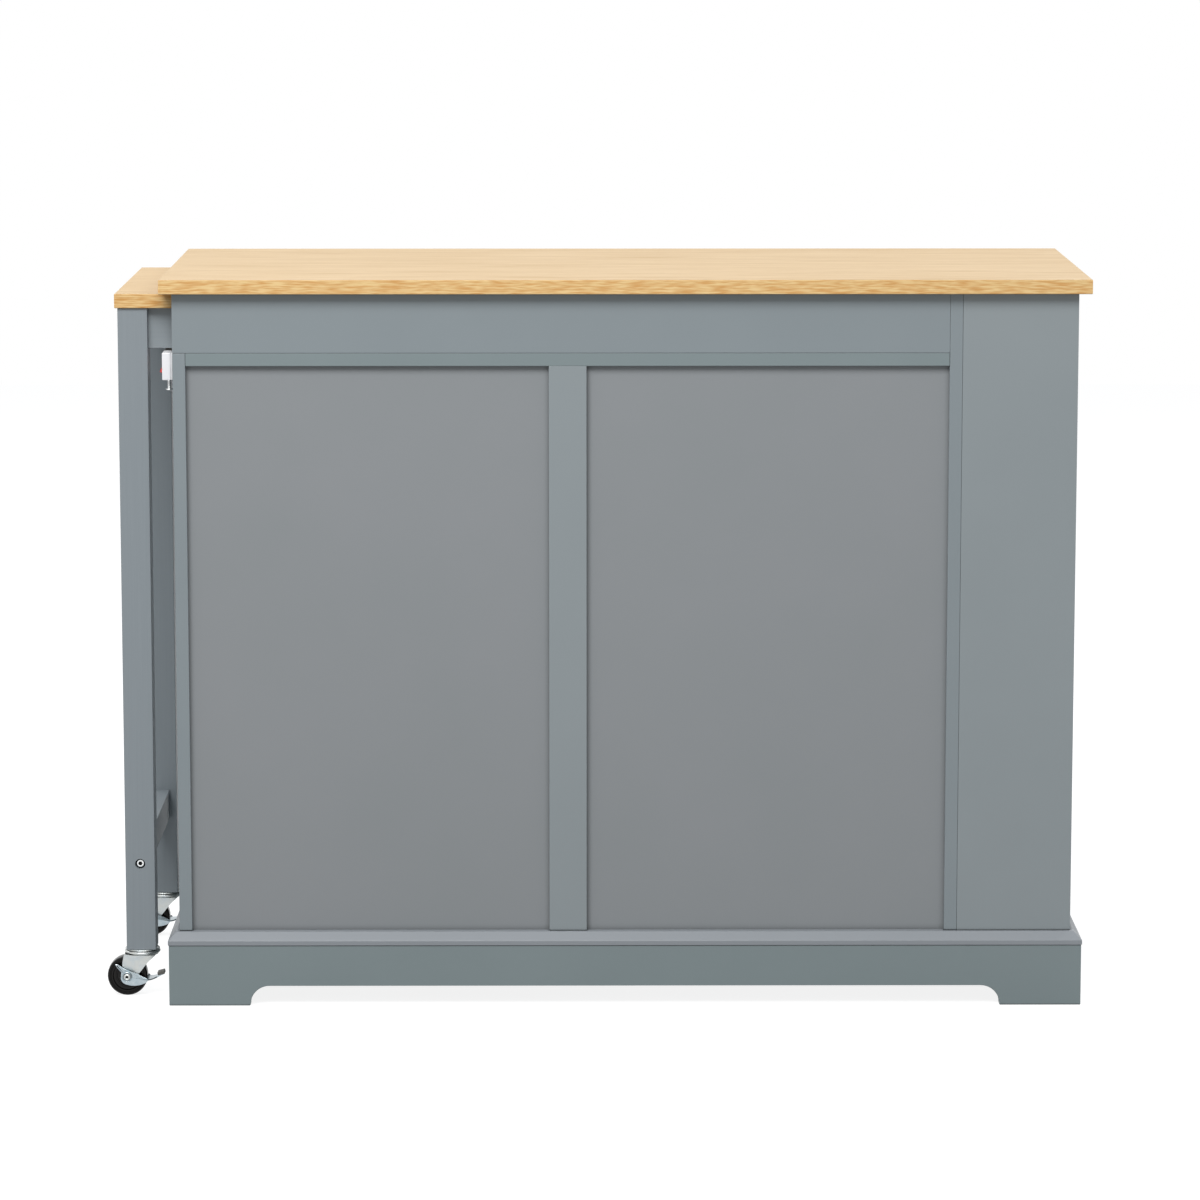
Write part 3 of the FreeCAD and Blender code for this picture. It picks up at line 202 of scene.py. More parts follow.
@dataclass(frozen=True)
class Finish:
    """A finish, made once and shared by the pieces that have it.

    Over its fine pattern the roughness goes from `smoother` below its value to `rougher` above it,
    and the surface stands up by `relief_deep` millimetres at the strength `relief`.
    """

    name: str
    roughness: float = 0.4
    smoother: float = 0.05
    rougher: float = 0.05
    relief: float = 0.1
    relief_deep: float = 0.05

    def settings(self) -> dict:
        """Constants of the shader by socket, where they aren't the usual ones."""
        return {}

    def layers(self, tree: NodeTree) -> tuple[Any, Any]:
        """Output sockets of the colour, and of the fine pattern in the gloss and the relief."""
        raise NotImplementedError

    def material(self) -> bpy.types.Material:
        """Build the finish's material when it is first asked for.

        Returns:
            The material.
        """
        made = bpy.data.materials.get(self.name)
        if made is not None:
            return made
        made = bpy.data.materials.new(self.name)
        tree = bare_tree(made)
        colour, fine = self.layers(tree)
        spread = {"To Min": self.roughness - self.smoother, "To Max": self.roughness + self.rougher}
        gloss = add_node(tree, "ShaderNodeMapRange", spread, {"Value": fine}).outputs["Result"]
        depth = {"Strength": self.relief, "Distance": self.relief_deep / MM_PER_M}
        bump = add_node(tree, "ShaderNodeBump", depth, {"Height": fine}).outputs["Normal"]
        links = {"Base Color": colour, "Roughness": gloss, "Normal": bump}
        shader = add_node(tree, "ShaderNodeBsdfPrincipled", self.settings(), links)
        add_node(tree, "ShaderNodeOutputMaterial", links={"Surface": shader.outputs["BSDF"]})
        return made


@dataclass(frozen=True)
class OakPrintLaminate(Finish):
    """Melamine laminate printed with oak and pressed satin, with a matching edge band.

    The eye gets a pale straight grain on the broad faces, stronger honey streaks on the band, and a
    soft veil of reflected room at a low angle.
    """

    face: str = "#d4ba93"
    face_streak: str = "#b69665"
    band_light: str = "#e9c990"
    band_dark: str = "#d3a062"
    pore: str = "#8f6432"
    pore_share: float = 0.16
    streak_long: float = 21.0
    streak_wide: float = 1.9
    streak_bend: float = 1.6
    line_long: float = 130.0
    line_wide: float = 3.4
    line_gain: float = 1.45
    pore_long: float = 14.0
    pore_wide: float = 0.9
    figure_long: float = 620.0
    figure_wide: float = 38.0
    waves: tuple[float, float, float] = (150.0, 60.0, 30.0)
    # The middle of a noise that is stretched to full contrast, and its top that draws pores.
    middle: tuple[float, float] = (0.36, 0.66)
    top: tuple[float, float] = (0.58, 0.72)
    # A surface faces an axis where its normal has more than this along it.
    facing: float = 0.6
    specular_level: float = 0.2
    shift: float = 0.0
    roughness: float = 0.45
    rougher: float = 0.07
    relief: float = 0.12

    def settings(self) -> dict:
        """Weaker reflection than plain plastic's."""
        return {"Specular IOR Level": self.specular_level}

    def layers(self, tree: NodeTree) -> tuple[Any, Any]:
        """Streaks, pores and a slow figure along X, with the end bands along their own run.

        Args:
            tree: the node tree.

        Returns:
            Output sockets of the colour and of the pores.
        """
        place = add_node(tree, "ShaderNodeTexCoord")
        spot, looks = (
            add_node(tree, "ShaderNodeSeparateXYZ", links={"Vector": place.outputs[kind]}).outputs
            for kind in ("Object", "Normal")
        )
        sizes = (
            add_node(tree, "ShaderNodeMath", {"operation": "ABSOLUTE"}, {0: looks[part]}).outputs[0]
            for part in ("X", "Z")
        )
        test = {"operation": "GREATER_THAN", 1: self.facing}
        at_end, broad = (
            add_node(tree, "ShaderNodeMath", test, {0: size}).outputs[0] for size in sizes
        )
        swapped = {"X": spot["Y"], "Y": spot["X"], "Z": spot["Z"]}
        turned = add_node(tree, "ShaderNodeCombineXYZ", links=swapped).outputs[0]
        run = add_node(
            tree, "ShaderNodeMix", {"data_type": "VECTOR"},
            {"Factor": at_end, MIX_FROM: place.outputs["Object"], MIX_TO: turned},
        ).outputs[MIX_VECTOR]

        def drawn(long: float, wide: float, detail: float, **more: Any) -> Any:
            """Noise drawn out along the run."""
            return pattern(tree, (long, wide, wide), detail, self.shift, run, **more).outputs["Fac"]

        wave = pattern(tree, self.waves, 1.0, self.shift, run).outputs["Color"]
        streaks = drawn(self.streak_long, self.streak_wide, 1.5, bend=(wave, self.streak_bend))
        lines = drawn(self.line_long, self.line_wide, 3.0, Roughness=0.6)
        pores = drawn(self.pore_long, self.pore_wide, 2.0)
        strength, calm, dark = (
            add_node(
                tree, "ShaderNodeMapRange", {"From Min": low, "From Max": high, "To Max": share},
                {"Value": noise},
            ).outputs["Result"]
            for noise, (low, high), share in (
                (streaks, self.middle, 1.0),
                (lines, self.middle, self.line_gain),
                (pores, self.top, self.pore_share),
            )
        )
        figured = add_node(
            tree, "ShaderNodeMath", {"operation": "MULTIPLY", "use_clamp": True},
            {0: calm, 1: drawn(self.figure_long, self.figure_wide, 4.0, Distortion=0.6)},
        )
        band, face = (
            add_node(tree, "ShaderNodeMix", tones(*pair), {"Factor": share}).outputs[MIX_RESULT]
            for pair, share in (
                ((self.band_light, self.band_dark), strength),
                ((self.face, self.face_streak), figured.outputs[0]),
            )
        )
        wood = add_node(
            tree, "ShaderNodeMix", {"data_type": "RGBA"},
            {"Factor": broad, MIX_FIRST: band, MIX_SECOND: face},
        )
        pored = add_node(
            tree, "ShaderNodeMix", {"data_type": "RGBA", MIX_SECOND: linear(self.pore)},
            {"Factor": dark, MIX_FIRST: wood.outputs[MIX_RESULT]},
        )
        return pored.outputs[MIX_RESULT], pores


@dataclass(frozen=True)
class SprayedBoardPaint(Finish):
    """Satin lacquer sprayed on fibreboard.

    The eye gets an even grey-blue with a slow cloudy shift, and a faint orange peel that softens
    the highlights. The peel is drawn a little coarser than the real 1 mm, so that it shows.
    """

    colour: str = "#8d9598"
    cloud: str = "#878f92"
    cloud_pitch: float = 140.0
    peel_pitch: float = 1.8
    roughness: float = 0.46
    relief: float = 0.14
    relief_deep: float = 0.06
    # Painted shade in inside corners and joints: how far it looks, its darkest share and its rays.
    shade_reach: float = 3.2
    shade_least: float = 0.1
    shade_rays: int = 6
    # Shares of open surroundings where the painted shade is deepest and where there is none.
    shade_shut: float = 0.46
    shade_open: float = 0.9

    def paint_joint_shade(self, tree: NodeTree, colour: Any) -> Any:
        """Painted shade: darker colour in inside corners and between boards.

        Args:
            tree: the node tree.
            colour: the output socket of the colour elsewhere.

        Returns:
            The output socket of the colour.
        """
        reach = {"samples": self.shade_rays, "Distance": self.shade_reach / MM_PER_M}
        near = add_node(tree, "ShaderNodeAmbientOcclusion", reach)
        span = {
            "From Min": self.shade_shut, "From Max": self.shade_open, "To Min": self.shade_least,
        }
        share = add_node(tree, "ShaderNodeMapRange", span, {"Value": near.outputs["AO"]})
        return add_node(
            tree, "ShaderNodeMix", {"data_type": "RGBA", "blend_type": "MULTIPLY", "Factor": 1.0},
            {MIX_FIRST: colour, MIX_SECOND: share.outputs["Result"]},
        ).outputs[MIX_RESULT]

    def layers(self, tree: NodeTree) -> tuple[Any, Any]:
        """Cloudy colour with painted shade in the joints, and orange peel.

        Args:
            tree: the node tree.

        Returns:
            Output sockets of the colour and of the peel.
        """
        colour, _ = mottle(tree, (self.cloud_pitch,) * 3, 3.0, self.colour, self.cloud)
        peel = pattern(tree, (self.peel_pitch,) * 3, 1.0)
        return self.paint_joint_shade(tree, colour), peel.outputs["Fac"]


@dataclass(frozen=True)
class PaintedTimber(Finish):
    """Satin paint brushed smooth over planed hardwood.

    The eye gets the same grey-blue with the grain just telegraphing through, in long shallow lines.
    """

    colour: str = "#899196"
    line_colour: str = "#828a8f"
    grain: Axis = Axis.Z
    grain_long: float = 180.0
    grain_wide: float = 2.4
    roughness: float = 0.44
    rougher: float = 0.06
    relief: float = 0.16
    relief_deep: float = 0.08

    def layers(self, tree: NodeTree) -> tuple[Any, Any]:
        """Lines along the grain, in the colour and as the fine pattern."""
        pitches = [self.grain_long if along else self.grain_wide for along in self.grain.value[0]]
        return mottle(tree, pitches, 3.0, self.colour, self.line_colour)


@dataclass(frozen=True)
class PlatedSteel(Finish):
    """Pressed or turned steel with an electroplated skin.

    The eye gets a bright metal, with a slow change between a warm and a cold tint where the
    passivated plate varies, and fine draw marks that stretch its highlights.
    """

    warm: str = "#cdccc5"
    cold: str = "#b2bcc2"
    tint_pitch: float = 9.0
    mark_long: float = 14.0
    mark_wide: float = 0.35
    roughness: float = 0.38
    smoother: float = 0.07
    rougher: float = 0.1
    relief: float = 0.08
    relief_deep: float = 0.02

    def settings(self) -> dict:
        """Full metal."""
        return {"Metallic": 1.0}

    def layers(self, tree: NodeTree) -> tuple[Any, Any]:
        """Tint, and draw marks.

        Args:
            tree: the node tree.

        Returns:
            Output sockets of the tint and of the marks.
        """
        colour, _ = mottle(tree, (self.tint_pitch,) * 3, 2.0, self.warm, self.cold)
        marks = pattern(tree, (self.mark_long, self.mark_long, self.mark_wide), 2.0)
        return colour, marks.outputs["Fac"]


@dataclass(frozen=True)
class MouldedPlastic(Finish):
    """Injection-moulded plastic, such as ABS, nylon or soft PVC.

    The eye gets an even colour with the fine spark-eroded texture of the mould, drawn coarse enough
    to show, and a gloss set by how the mould was polished.
    """

    colour: str = "#f3f3f5"
    shade: str = "#ededf0"
    texture_pitch: float = 0.9
    roughness: float = 0.36
    smoother: float = 0.04
    rougher: float = 0.04
    relief: float = 0.2
    relief_deep: float = 0.02
    ior: float = 1.53
    sheen_level: float = 0.5
    coat: float = 0.0
    see_through: float = 0.0

    def settings(self) -> dict:
        """How the plastic bends, reflects and lets light through."""
        return {
            "IOR": self.ior, "Specular IOR Level": self.sheen_level, "Coat Weight": self.coat,
            "Transmission Weight": self.see_through,
        }

    def layers(self, tree: NodeTree) -> tuple[Any, Any]:
        """Even colour, and the mould's texture."""
        return mottle(tree, (self.texture_pitch,) * 3, 2.0, self.colour, self.shade)


WORKTOP_OAK = OakPrintLaminate("worktop_oak_laminate")
TABLE_OAK = OakPrintLaminate(
    "table_oak_laminate", face="#d5ba91", band_light="#e7c68d", band_dark="#cb9757", shift=7.3
)
BOARD_PAINT = SprayedBoardPaint("sprayed_board_paint")
# A darker copy of the board paint: painted shade on the side panel, divider and back rail.
SHADED_BOARD_PAINT = SprayedBoardPaint("sprayed_board_paint_painted_shade", colour="#868f93", cloud="#80898d")
# A still darker copy of the board paint: painted shade towards the floor, on the plinth, its blocks
# and the deck.
SHADED_BASE_PAINT = SprayedBoardPaint("sprayed_base_paint_painted_shade", colour="#7f8b8d", cloud="#788486")
RIM_PAINT = SprayedBoardPaint("sprayed_rim_paint", colour="#8d9297", cloud="#888d92")
# The back panels get a wider, lighter painted shade round their recessed edges.
PANEL_PAINT = SprayedBoardPaint(
    "sprayed_thin_panel_paint", colour="#8b8e91", cloud="#858a8c", peel_pitch=1.2, roughness=0.52,
    shade_reach=8.0, shade_least=0.66,
)
DOOR_PAINT = SprayedBoardPaint("sprayed_door_paint", roughness=0.42)
LEG_PAINT = PaintedTimber("painted_leg_timber")
# A lighter copy of the leg paint: painted light that evens out the shade under the table top.
LIT_RAIL_PAINT = PaintedTimber(
    "painted_rail_timber_painted_light", colour="#8f979b", line_colour="#889095", grain=Axis.X
)
CROSS_PAINT = PaintedTimber("painted_cross_timber", grain=Axis.Y)
DOWEL_BEECH = PaintedTimber(
    "bare_beech", colour="#cfa97c", line_colour="#bd9466", grain=Axis.Y, grain_long=20.0,
    grain_wide=0.8, roughness=0.6,
)
ZINC = PlatedSteel("bright_zinc_plated_steel")
POLISHED_ZINC = PlatedSteel("polished_zinc_heads", warm="#eeedea", cold="#e2e7ea", roughness=0.2)
BLUE_ZINC = PlatedSteel(
    "blue_passivated_steel", warm="#c0c6c8", cold="#93a7b2", tint_pitch=6.0, roughness=0.22
)
RUNNER_ZINC = PlatedSteel("rolled_zinc_steel", mark_long=60.0, roughness=0.32)
NICKEL = PlatedSteel("satin_nickel_plate", warm="#bdb9b0", cold="#afb0ad", roughness=0.34)
# Black washers, and black discs that are painted shade in sockets and hollow rivet ends.
BLACK_WASHERS_AND_SHADE = PlatedSteel("black_washers_and_painted_shade", warm="#201f1e", cold="#191a1b", roughness=0.45)
MAGNET_STEEL = PlatedSteel("catch_pole_plates", warm="#a7a7a5", cold="#9b9fa3", roughness=0.42)
TREAD_RUBBER = MouldedPlastic(
    "hard_black_tread", colour="#12110f", shade="#0b0a09", texture_pitch=1.4, relief_deep=0.03,
    roughness=0.2, ior=1.5, sheen_level=0.2,
)
CORE_NYLON = MouldedPlastic(
    "black_core_nylon", colour="#141210", shade="#0d0c0b", roughness=0.18, sheen_level=0.2
)
PAD_RUBBER = MouldedPlastic(
    "grey_pedal_rubber", colour="#64635f", shade="#565551", roughness=0.55, ior=1.5
)
STRIP_ABS = MouldedPlastic("white_housing_abs", roughness=0.33)
BACKPLATE_ABS = MouldedPlastic(
    "white_backplate_abs", colour="#ecebec", shade="#e2e2e4", roughness=0.42
)
ROCKER_RED = MouldedPlastic(
    "translucent_red_polycarbonate", colour="#ea2a1d", shade="#dc2116", roughness=0.2, ior=1.58,
    coat=0.4, see_through=0.15,
)
GLAND_PVC = MouldedPlastic("soft_white_pvc", colour="#d6d6d6", shade="#cbcbcc", roughness=0.5)
CATCH_PLASTIC = MouldedPlastic(
    "white_catch_nylon", colour="#dcdbd6", shade="#cfcec9", roughness=0.45
)


def soften(points: Flat, reach: float, closed: bool = False, steps: int = 3) -> Outline:
    """Round the corners of an outline.

    Args:
        points: the outline's corners.
        reach: how far from a corner its curve starts, at most.
        closed: True where the last point leads back to the first.
        steps: spans in each curve.

    Returns:
        The rounded outline.
    """
    rounded = []
    count = len(points)
    for i, corner in enumerate(points):
        if not closed and i in (0, count - 1):
            rounded.append(corner)
            continue
        here = Vector(corner)
        ends = []
        for other in (points[i - 1], points[(i + 1) % count]):
            away = Vector(other) - here
            ends.append(here + away * min(0.45, reach / max(away.length, reach)))
        for step in range(steps + 1):
            t = step / steps
            bent = ends[0] * (1 - t) ** 2 + here * 2 * t * (1 - t) + ends[1] * t**2
            rounded.append((bent.x, bent.y))
    return rounded


def flow(points: Flat, steps: int = 5, closed: bool = False) -> Outline:
    """Smooth curve through points.

    Args:
        points: the points, in order.
        steps: spans between two points.
        closed: True where the curve comes back to its start.

    Returns:
        Points along the curve.
    """
    count = len(points)

    def at(i: int) -> Vector:
        """Point of the list, past its ends too."""
        return Vector(points[i % count] if closed else points[min(max(i, 0), count - 1)])

    curve = []
    for i in range(count if closed else count - 1):
        p0, p1, p2, p3 = at(i - 1), at(i), at(i + 1), at(i + 2)
        for step in range(steps):
            t = step / steps
            bent = 2 * p1 + (p2 - p0) * t + (2 * p0 - 5 * p1 + 4 * p2 - p3) * t**2
            bent += (3 * p1 - p0 - 3 * p2 + p3) * t**3
            curve.append((bent.x / 2, bent.y / 2))
    if not closed:
        curve.append(tuple(points[-1]))
    return curve


def inset(points: Flat, reach: float) -> Outline:
    """Closed outline moved inwards.

    Args:
        points: the outline, in order.
        reach: how far it moves.

    Returns:
        The smaller outline, point for point.
    """
    count = len(points)
    area = sum(
        points[i - 1][0] * points[i][1] - points[i][0] * points[i - 1][1] for i in range(count)
    )
    side = reach if area > 0 else -reach
    moved = []
    for i, (x, y) in enumerate(points):
        ahead = Vector(points[(i + 1) % count]) - Vector(points[i - 1])
        ahead.normalize()
        moved.append((x - side * ahead.y, y + side * ahead.x))
    return moved


def mirrored(points: Flat, total: float = 0.0) -> Outline:
    """Profile and its mirror image, whose heights add up to a total."""
    return [*points, *((radius, total - height) for radius, height in reversed(points))]


def bore_rim(outline: Flat, radius: float) -> Loop:
    """Rim of a round hole about the origin, with one point for each point of an outline."""
    return [Vector(point).normalized() * radius for point in outline]


def round_angles(count: int, start: float = 0.0) -> list[float]:
    """Equal angles round a circle."""
    return [start + 2 * math.pi * i / count for i in range(count)]


def skin(bm: BMesh, loops: Sequence[Loop], wrap: bool = False) -> None:
    """Join equal loops of points with faces.

    Args:
        bm: the mesh that gets them.
        loops: the loops in order, each with the same number of points.
        wrap: True joins the last loop to the first, and False closes both ends.
    """
    rows = [[bm.verts.new(point) for point in loop] for loop in loops]
    count = len(rows[0])
    pairs = list(zip(rows, rows[1:]))
    if wrap:
        pairs.append((rows[-1], rows[0]))
    for low, high in pairs:
        for i in range(count):
            j = (i + 1) % count
            bm.faces.new((low[i], low[j], high[j], high[i]))
    if not wrap:
        bm.faces.new(list(reversed(rows[0])))
        bm.faces.new(rows[-1])


def turn_on(
    bm: BMesh, axis: Axis, centre: Vector, profile: Flat, count: int = 48, wrap: bool = False,
    side: int = 1,
) -> None:
    """Turn a profile about an axis.

    Args:
        bm: the mesh that gets the shape.
        axis: the axis of the turning.
        centre: a point on the axis, where heights are zero.
        profile: pairs of radius and height.
        count: sides of the turned shape.
        wrap: True for a ring, whose profile closes on itself.
        side: 1 where heights go along the axis, and -1 where they go back.
    """
    turns = [(math.cos(a), math.sin(a)) for a in round_angles(count)]
    loops = [
        [centre + axis.point(side * height, radius * cos, radius * sin) for cos, sin in turns]
        for radius, height in profile
    ]
    skin(bm, loops, wrap)


def cut_out(
    bm: BMesh, axis: Axis, outline: Flat, low: float, high: float, bore: float = 0.0
) -> None:
    """Flat plate cut from a sheet.

    Args:
        bm: the mesh that gets the plate.
        axis: the axis across the sheet.
        outline: the plate's edge, about the bore's centre where there is one.
        low: the sheet's lower face along the axis.
        high: the sheet's upper face along the axis.
        bore: radius of the hole at the outline's origin, or nothing.
    """
    loops = [[axis.point(along, *point) for point in outline] for along in (low, high)]
    if bore:
        rim = bore_rim(outline, bore)
        loops += [[axis.point(along, *point) for point in rim] for along in (high, low)]
    skin(bm, loops, wrap=bool(bore))


# Half the width of a cross recess's arm by its length, and the sine below which an arm runs out.
CROSS_ARM, ARM_END = 0.22, 0.1


def recess_loop(drive: Drive, size: float, count: int) -> list[float]:
    """Radius of a screw recess at equal angles.

    Args:
        drive: the kind of recess.
        size: half the width across flats of a hexagon, or half the length of a cross.
        count: how many angles.

    Returns:
        One radius for each angle.
    """
    radii = []
    for i in range(count):
        angle = 360 * i / count
        if drive is Drive.HEX:
            radii.append(size / math.cos(math.radians(angle % 60 - 30)))
        else:
            off = math.sin(math.radians(abs((angle + 45) % 90 - 45)))
            radii.append(min(size, CROSS_ARM * size / max(off, ARM_END)))
    return radii


# Width of a recess's floor by its mouth, the radius of the drill point, and its depth by the size.
RECESS_DRAFT, RECESS_TIP, RECESS_CONE = 0.94, 0.2, 0.6


def screw_head(
    bm: BMesh, axis: Axis, seat: Vector, side: int, profile: Flat, drive: Drive, size: float,
    deep: float,
) -> None:
    """Turned head with a recess.

    Args:
        bm: the mesh that gets the head.
        axis: the screw's axis.
        seat: the point on the axis where heights are zero.
        side: 1 where the head looks along the axis, and -1 where it looks back.
        profile: pairs of radius and height from the under side to the rim of the recess.
        drive: the kind of recess.
        size: the recess's size.
        deep: how deep the recess goes.
    """
    count = 48
    angles = round_angles(count)
    rim = profile[-1][1]

    def loop(radii: Sequence[float], height: float) -> Loop:
        """Points at one height, with a radius for each angle."""
        spots = ((r * math.cos(a), r * math.sin(a)) for r, a in zip(radii, angles))
        return [seat + axis.point(side * height, *spot) for spot in spots]

    loops = [loop([radius] * count, height) for radius, height in profile]
    mouth = recess_loop(drive, size, count)
    loops += [loop(mouth, rim), loop([r * RECESS_DRAFT for r in mouth], rim - deep)]
    loops.append(loop([RECESS_TIP] * count, rim - deep - RECESS_CONE * size))
    skin(bm, loops)


def box_on(
    bm: BMesh, low: Sequence[float], high: Sequence[float], turn: Matrix | None = None
) -> None:
    """Block between two corners.

    Args:
        bm: the mesh that gets the block.
        low: its lowest corner.
        high: its highest corner.
        turn: how it is turned about its middle, if it is.
    """
    low, high = Vector(low), Vector(high)
    shape = Matrix.Diagonal((*(high - low), 1.0))
    place = Matrix.Translation((low + high) / 2) @ (turn or Matrix.Identity(4)) @ shape
    bmesh.ops.create_cube(bm, size=1.0, matrix=place)


def bevel_all(bm: BMesh, width: float, segments: int = 2, least_deg: float = 30.0) -> None:
    """Round every edge of a mesh that turns by more than an angle.

    Args:
        bm: the mesh.
        width: how far from an edge its curve starts.
        segments: spans in each curve.
        least_deg: the angle.
    """
    bm.normal_update()
    least = math.radians(least_deg)
    sharp = [e for e in bm.edges if e.is_manifold and e.calc_face_angle(0) > least]
    bmesh.ops.bevel(
        bm, geom=sharp, offset=width, segments=segments, affect="EDGES", profile=0.6,
        clamp_overlap=True,
    )


def mesh_of(name: str, bm: BMesh) -> bpy.types.Mesh:
    """Turn a shape in millimetres into a mesh in metres.

    Args:
        name: the mesh's name.
        bm: the shape, used up here.

    Returns:
        The mesh.
    """
    bmesh.ops.scale(bm, vec=(1 / MM_PER_M,) * 3, verts=bm.verts[:])
    mesh = bpy.data.meshes.new(name)
    bm.to_mesh(mesh)
    bm.free()
    return mesh


def add_object(name: str, data: Any) -> bpy.types.Object:
    """Add an object to the scene.

    Args:
        name: its name.
        data: its mesh, lamp or camera.

    Returns:
        The object.
    """
    made = bpy.data.objects.new(name, data)
    bpy.context.scene.collection.objects.link(made)
    return made


def make_piece(
    name: str, bm: BMesh, finish: Finish, body: str, stands_for: Sequence[str] = (),
    smooth_deg: float = SMOOTH_DEG,
) -> bpy.types.Object:
    """Turn a finished mesh into a piece of the island.

    Args:
        name: the piece's name.
        bm: the mesh in millimetres, used up here.
        finish: the finish that it gets.
        body: the body that it moves with.
        stands_for: nodes of the model that it replaces.
        smooth_deg: edges that turn by less than this are shaded smooth.

    Returns:
        The new object.
    """
    bmesh.ops.recalc_face_normals(bm, faces=bm.faces[:])
    for face in bm.faces:
        face.smooth = True
    for edge in bm.edges:
        edge.smooth = edge.is_manifold and edge.calc_face_angle(0) < math.radians(smooth_deg)
    mesh = mesh_of(name, bm)
    mesh.materials.append(finish.material())
    piece = add_object(name, mesh)
    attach(piece, body)
    if stands_for:
        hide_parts(*stands_for)
    log.info("%s: %d faces, on %s", name, len(mesh.polygons), body)
    return piece


def carve(piece: bpy.types.Object, cutters: BMesh) -> None:
    """Cut shapes out of a piece's mesh for good.

    Args:
        piece: the piece that is cut.
        cutters: closed shapes in millimetres, used up here.
    """
    bmesh.ops.recalc_face_normals(cutters, faces=cutters.faces[:])
    tool = add_object("cutters", mesh_of("cutters", cutters))
    cut = piece.modifiers.new("cut", "BOOLEAN")
    cut.operation = "DIFFERENCE"
    cut.solver = "EXACT"
    cut.object = tool
    graph = bpy.context.evaluated_depsgraph_get()
    result = bpy.data.meshes.new_from_object(piece.evaluated_get(graph), depsgraph=graph)
    piece.modifiers.remove(cut)
    piece.data = result
    bpy.data.objects.remove(tool)


def box_mm(node: str) -> tuple[Vector, Vector]:
    """Lowest and highest corner of a node of the model, in millimetres."""
    low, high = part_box(node)
    return low * MM_PER_M, high * MM_PER_M


@dataclass
class Boards:
    """Boards, panels and plain steel that keep their own meshes."""

    board_round: float = 0.8
    steel_round: float = 0.25
    corner_deg: float = 40.0
    bore_facet: float = 0.97
    weld: float = 0.002

    def plan(self) -> list[tuple[Finish, float, tuple[str, ...]]]:
        """List what the nodes get.

        Returns:
            Finish, edge rounding and nodes of each kind.
        """
        board, steel = self.board_round, self.steel_round
        return [
            (WORKTOP_OAK, 0.0, ("worktop",)),
            (TABLE_OAK, 0.0, ("table_top",)),
            (BOARD_PAINT, board, ("centre_partition", "upper_front_rail", "centre_stile")),
            (BOARD_PAINT, board, ("end_back_panel", "end_front_panel", "end_shelves")),
            (BOARD_PAINT, board, ("adjustable_shelves", "runner_packers")),
            (RIM_PAINT, board, ("base_board",)),
            (SHADED_BASE_PAINT, board, ("plinth_back_board", "plinth_front_board", "plinth_end_boards")),
            (SHADED_BASE_PAINT, board, ("plinth_corner_blocks", "deck_board")),
            (SHADED_BOARD_PAINT, board, ("left_side_panel", "divider_panel", "upper_back_rail")),
            (PANEL_PAINT, 0.0, ("back_panel_left", "back_panel_right")),
            (LEG_PAINT, board, ("table_leg_near", "table_leg_far")),
            (LIT_RAIL_PAINT, board, ("table_apron_near", "table_apron_far")),
            (CROSS_PAINT, board, ("table_end_apron", "table_cross_rail", "leg_stretcher")),
            (DOWEL_BEECH, steel, ("stretcher_dowels",)),
            (RUNNER_ZINC, steel, ("runner_outer_members", "runner_middle_members")),
            (RUNNER_ZINC, steel, ("runner_inner_members",)),
            (ZINC, steel, ("worktop_brackets", "barrel_nuts", "shelf_pins")),
            (NICKEL, steel, ("frame_hinge_leaves",)),
            (NICKEL, steel, ("door_hinge_leaves_left", "door_hinge_leaves_right")),
        ]

    def dress(self) -> None:
        """Give each node its finish and its softened edges."""
        for finish, width, names in self.plan():
            for name in names:
                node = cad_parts[name]
                node.data.materials.clear()
                node.data.materials.append(finish.material())
                if width:
                    self.soften_edges(node, width)
                log.info("%s: %s", name, finish.name)

    def soften_edges(self, node: bpy.types.Object, width: float) -> None:
        """Round the sharp edges of a node by modifiers, which leave its own mesh as it is.

        Args:
            node: the node.
            width: how far from an edge its curve starts.
        """
        self.mark_edges(node)
        weld = node.modifiers.new("weld", "WELD")
        weld.merge_threshold = self.weld / MM_PER_M
        bevel = node.modifiers.new("edge_round", "BEVEL")
        bevel.width = width / MM_PER_M
        bevel.segments = 2
        bevel.limit_method = "WEIGHT"
        bevel.harden_normals = False
        shade = node.modifiers.new("shading", "WEIGHTED_NORMAL")
        shade.keep_sharp = True

    def mark_edges(self, node: bpy.types.Object) -> None:
        """Mark a node's sharp edges for rounding, but not the short facets of its bores.

        Args:
            node: the node.
        """
        joined = bmesh.new()
        joined.from_mesh(node.data)
        bmesh.ops.remove_doubles(joined, verts=joined.verts[:], dist=self.weld / MM_PER_M)
        finder = KDTree(len(joined.verts))
        for i, vert in enumerate(joined.verts):
            vert.index = i
            finder.insert(vert.co, i)
        finder.balance()
        least = math.radians(self.corner_deg)
        marked = set()
        for edge in joined.edges:
            long = edge.calc_length() > self.bore_facet / MM_PER_M
            if long and edge.is_manifold and edge.calc_face_angle(0) > least:
                marked.add(frozenset(vert.index for vert in edge.verts))
        joined.free()
        place = [finder.find(vert.co)[1] for vert in node.data.vertices]
        weights = node.data.attributes.new("bevel_weight_edge", "FLOAT", "EDGE")
        for edge, weight in zip(node.data.edges, weights.data):
            weight.value = float(frozenset(place[i] for i in edge.vertices) in marked)


@dataclass
class Sided:
    """Sub-assembly made once for each side, which its nodes and pieces are named after."""

    side: str

    def box(self, node: str) -> tuple[Vector, Vector]:
        """Lowest and highest corner of this side's node, in millimetres."""
        return box_mm(f"{node}_{self.side}")

    def make(
        self, name: str, bm: BMesh, finish: Finish, body: str, slot: str, node: str = "",
        smooth_deg: float = SMOOTH_DEG,
    ) -> None:
        """Turn a mesh into this side's piece, which stands for this side's node if one is given."""
        nodes = [f"{node}_{self.side}"] if node else []
        make_piece(f"{name}_{self.side}", bm, finish, body, nodes, smooth_deg)


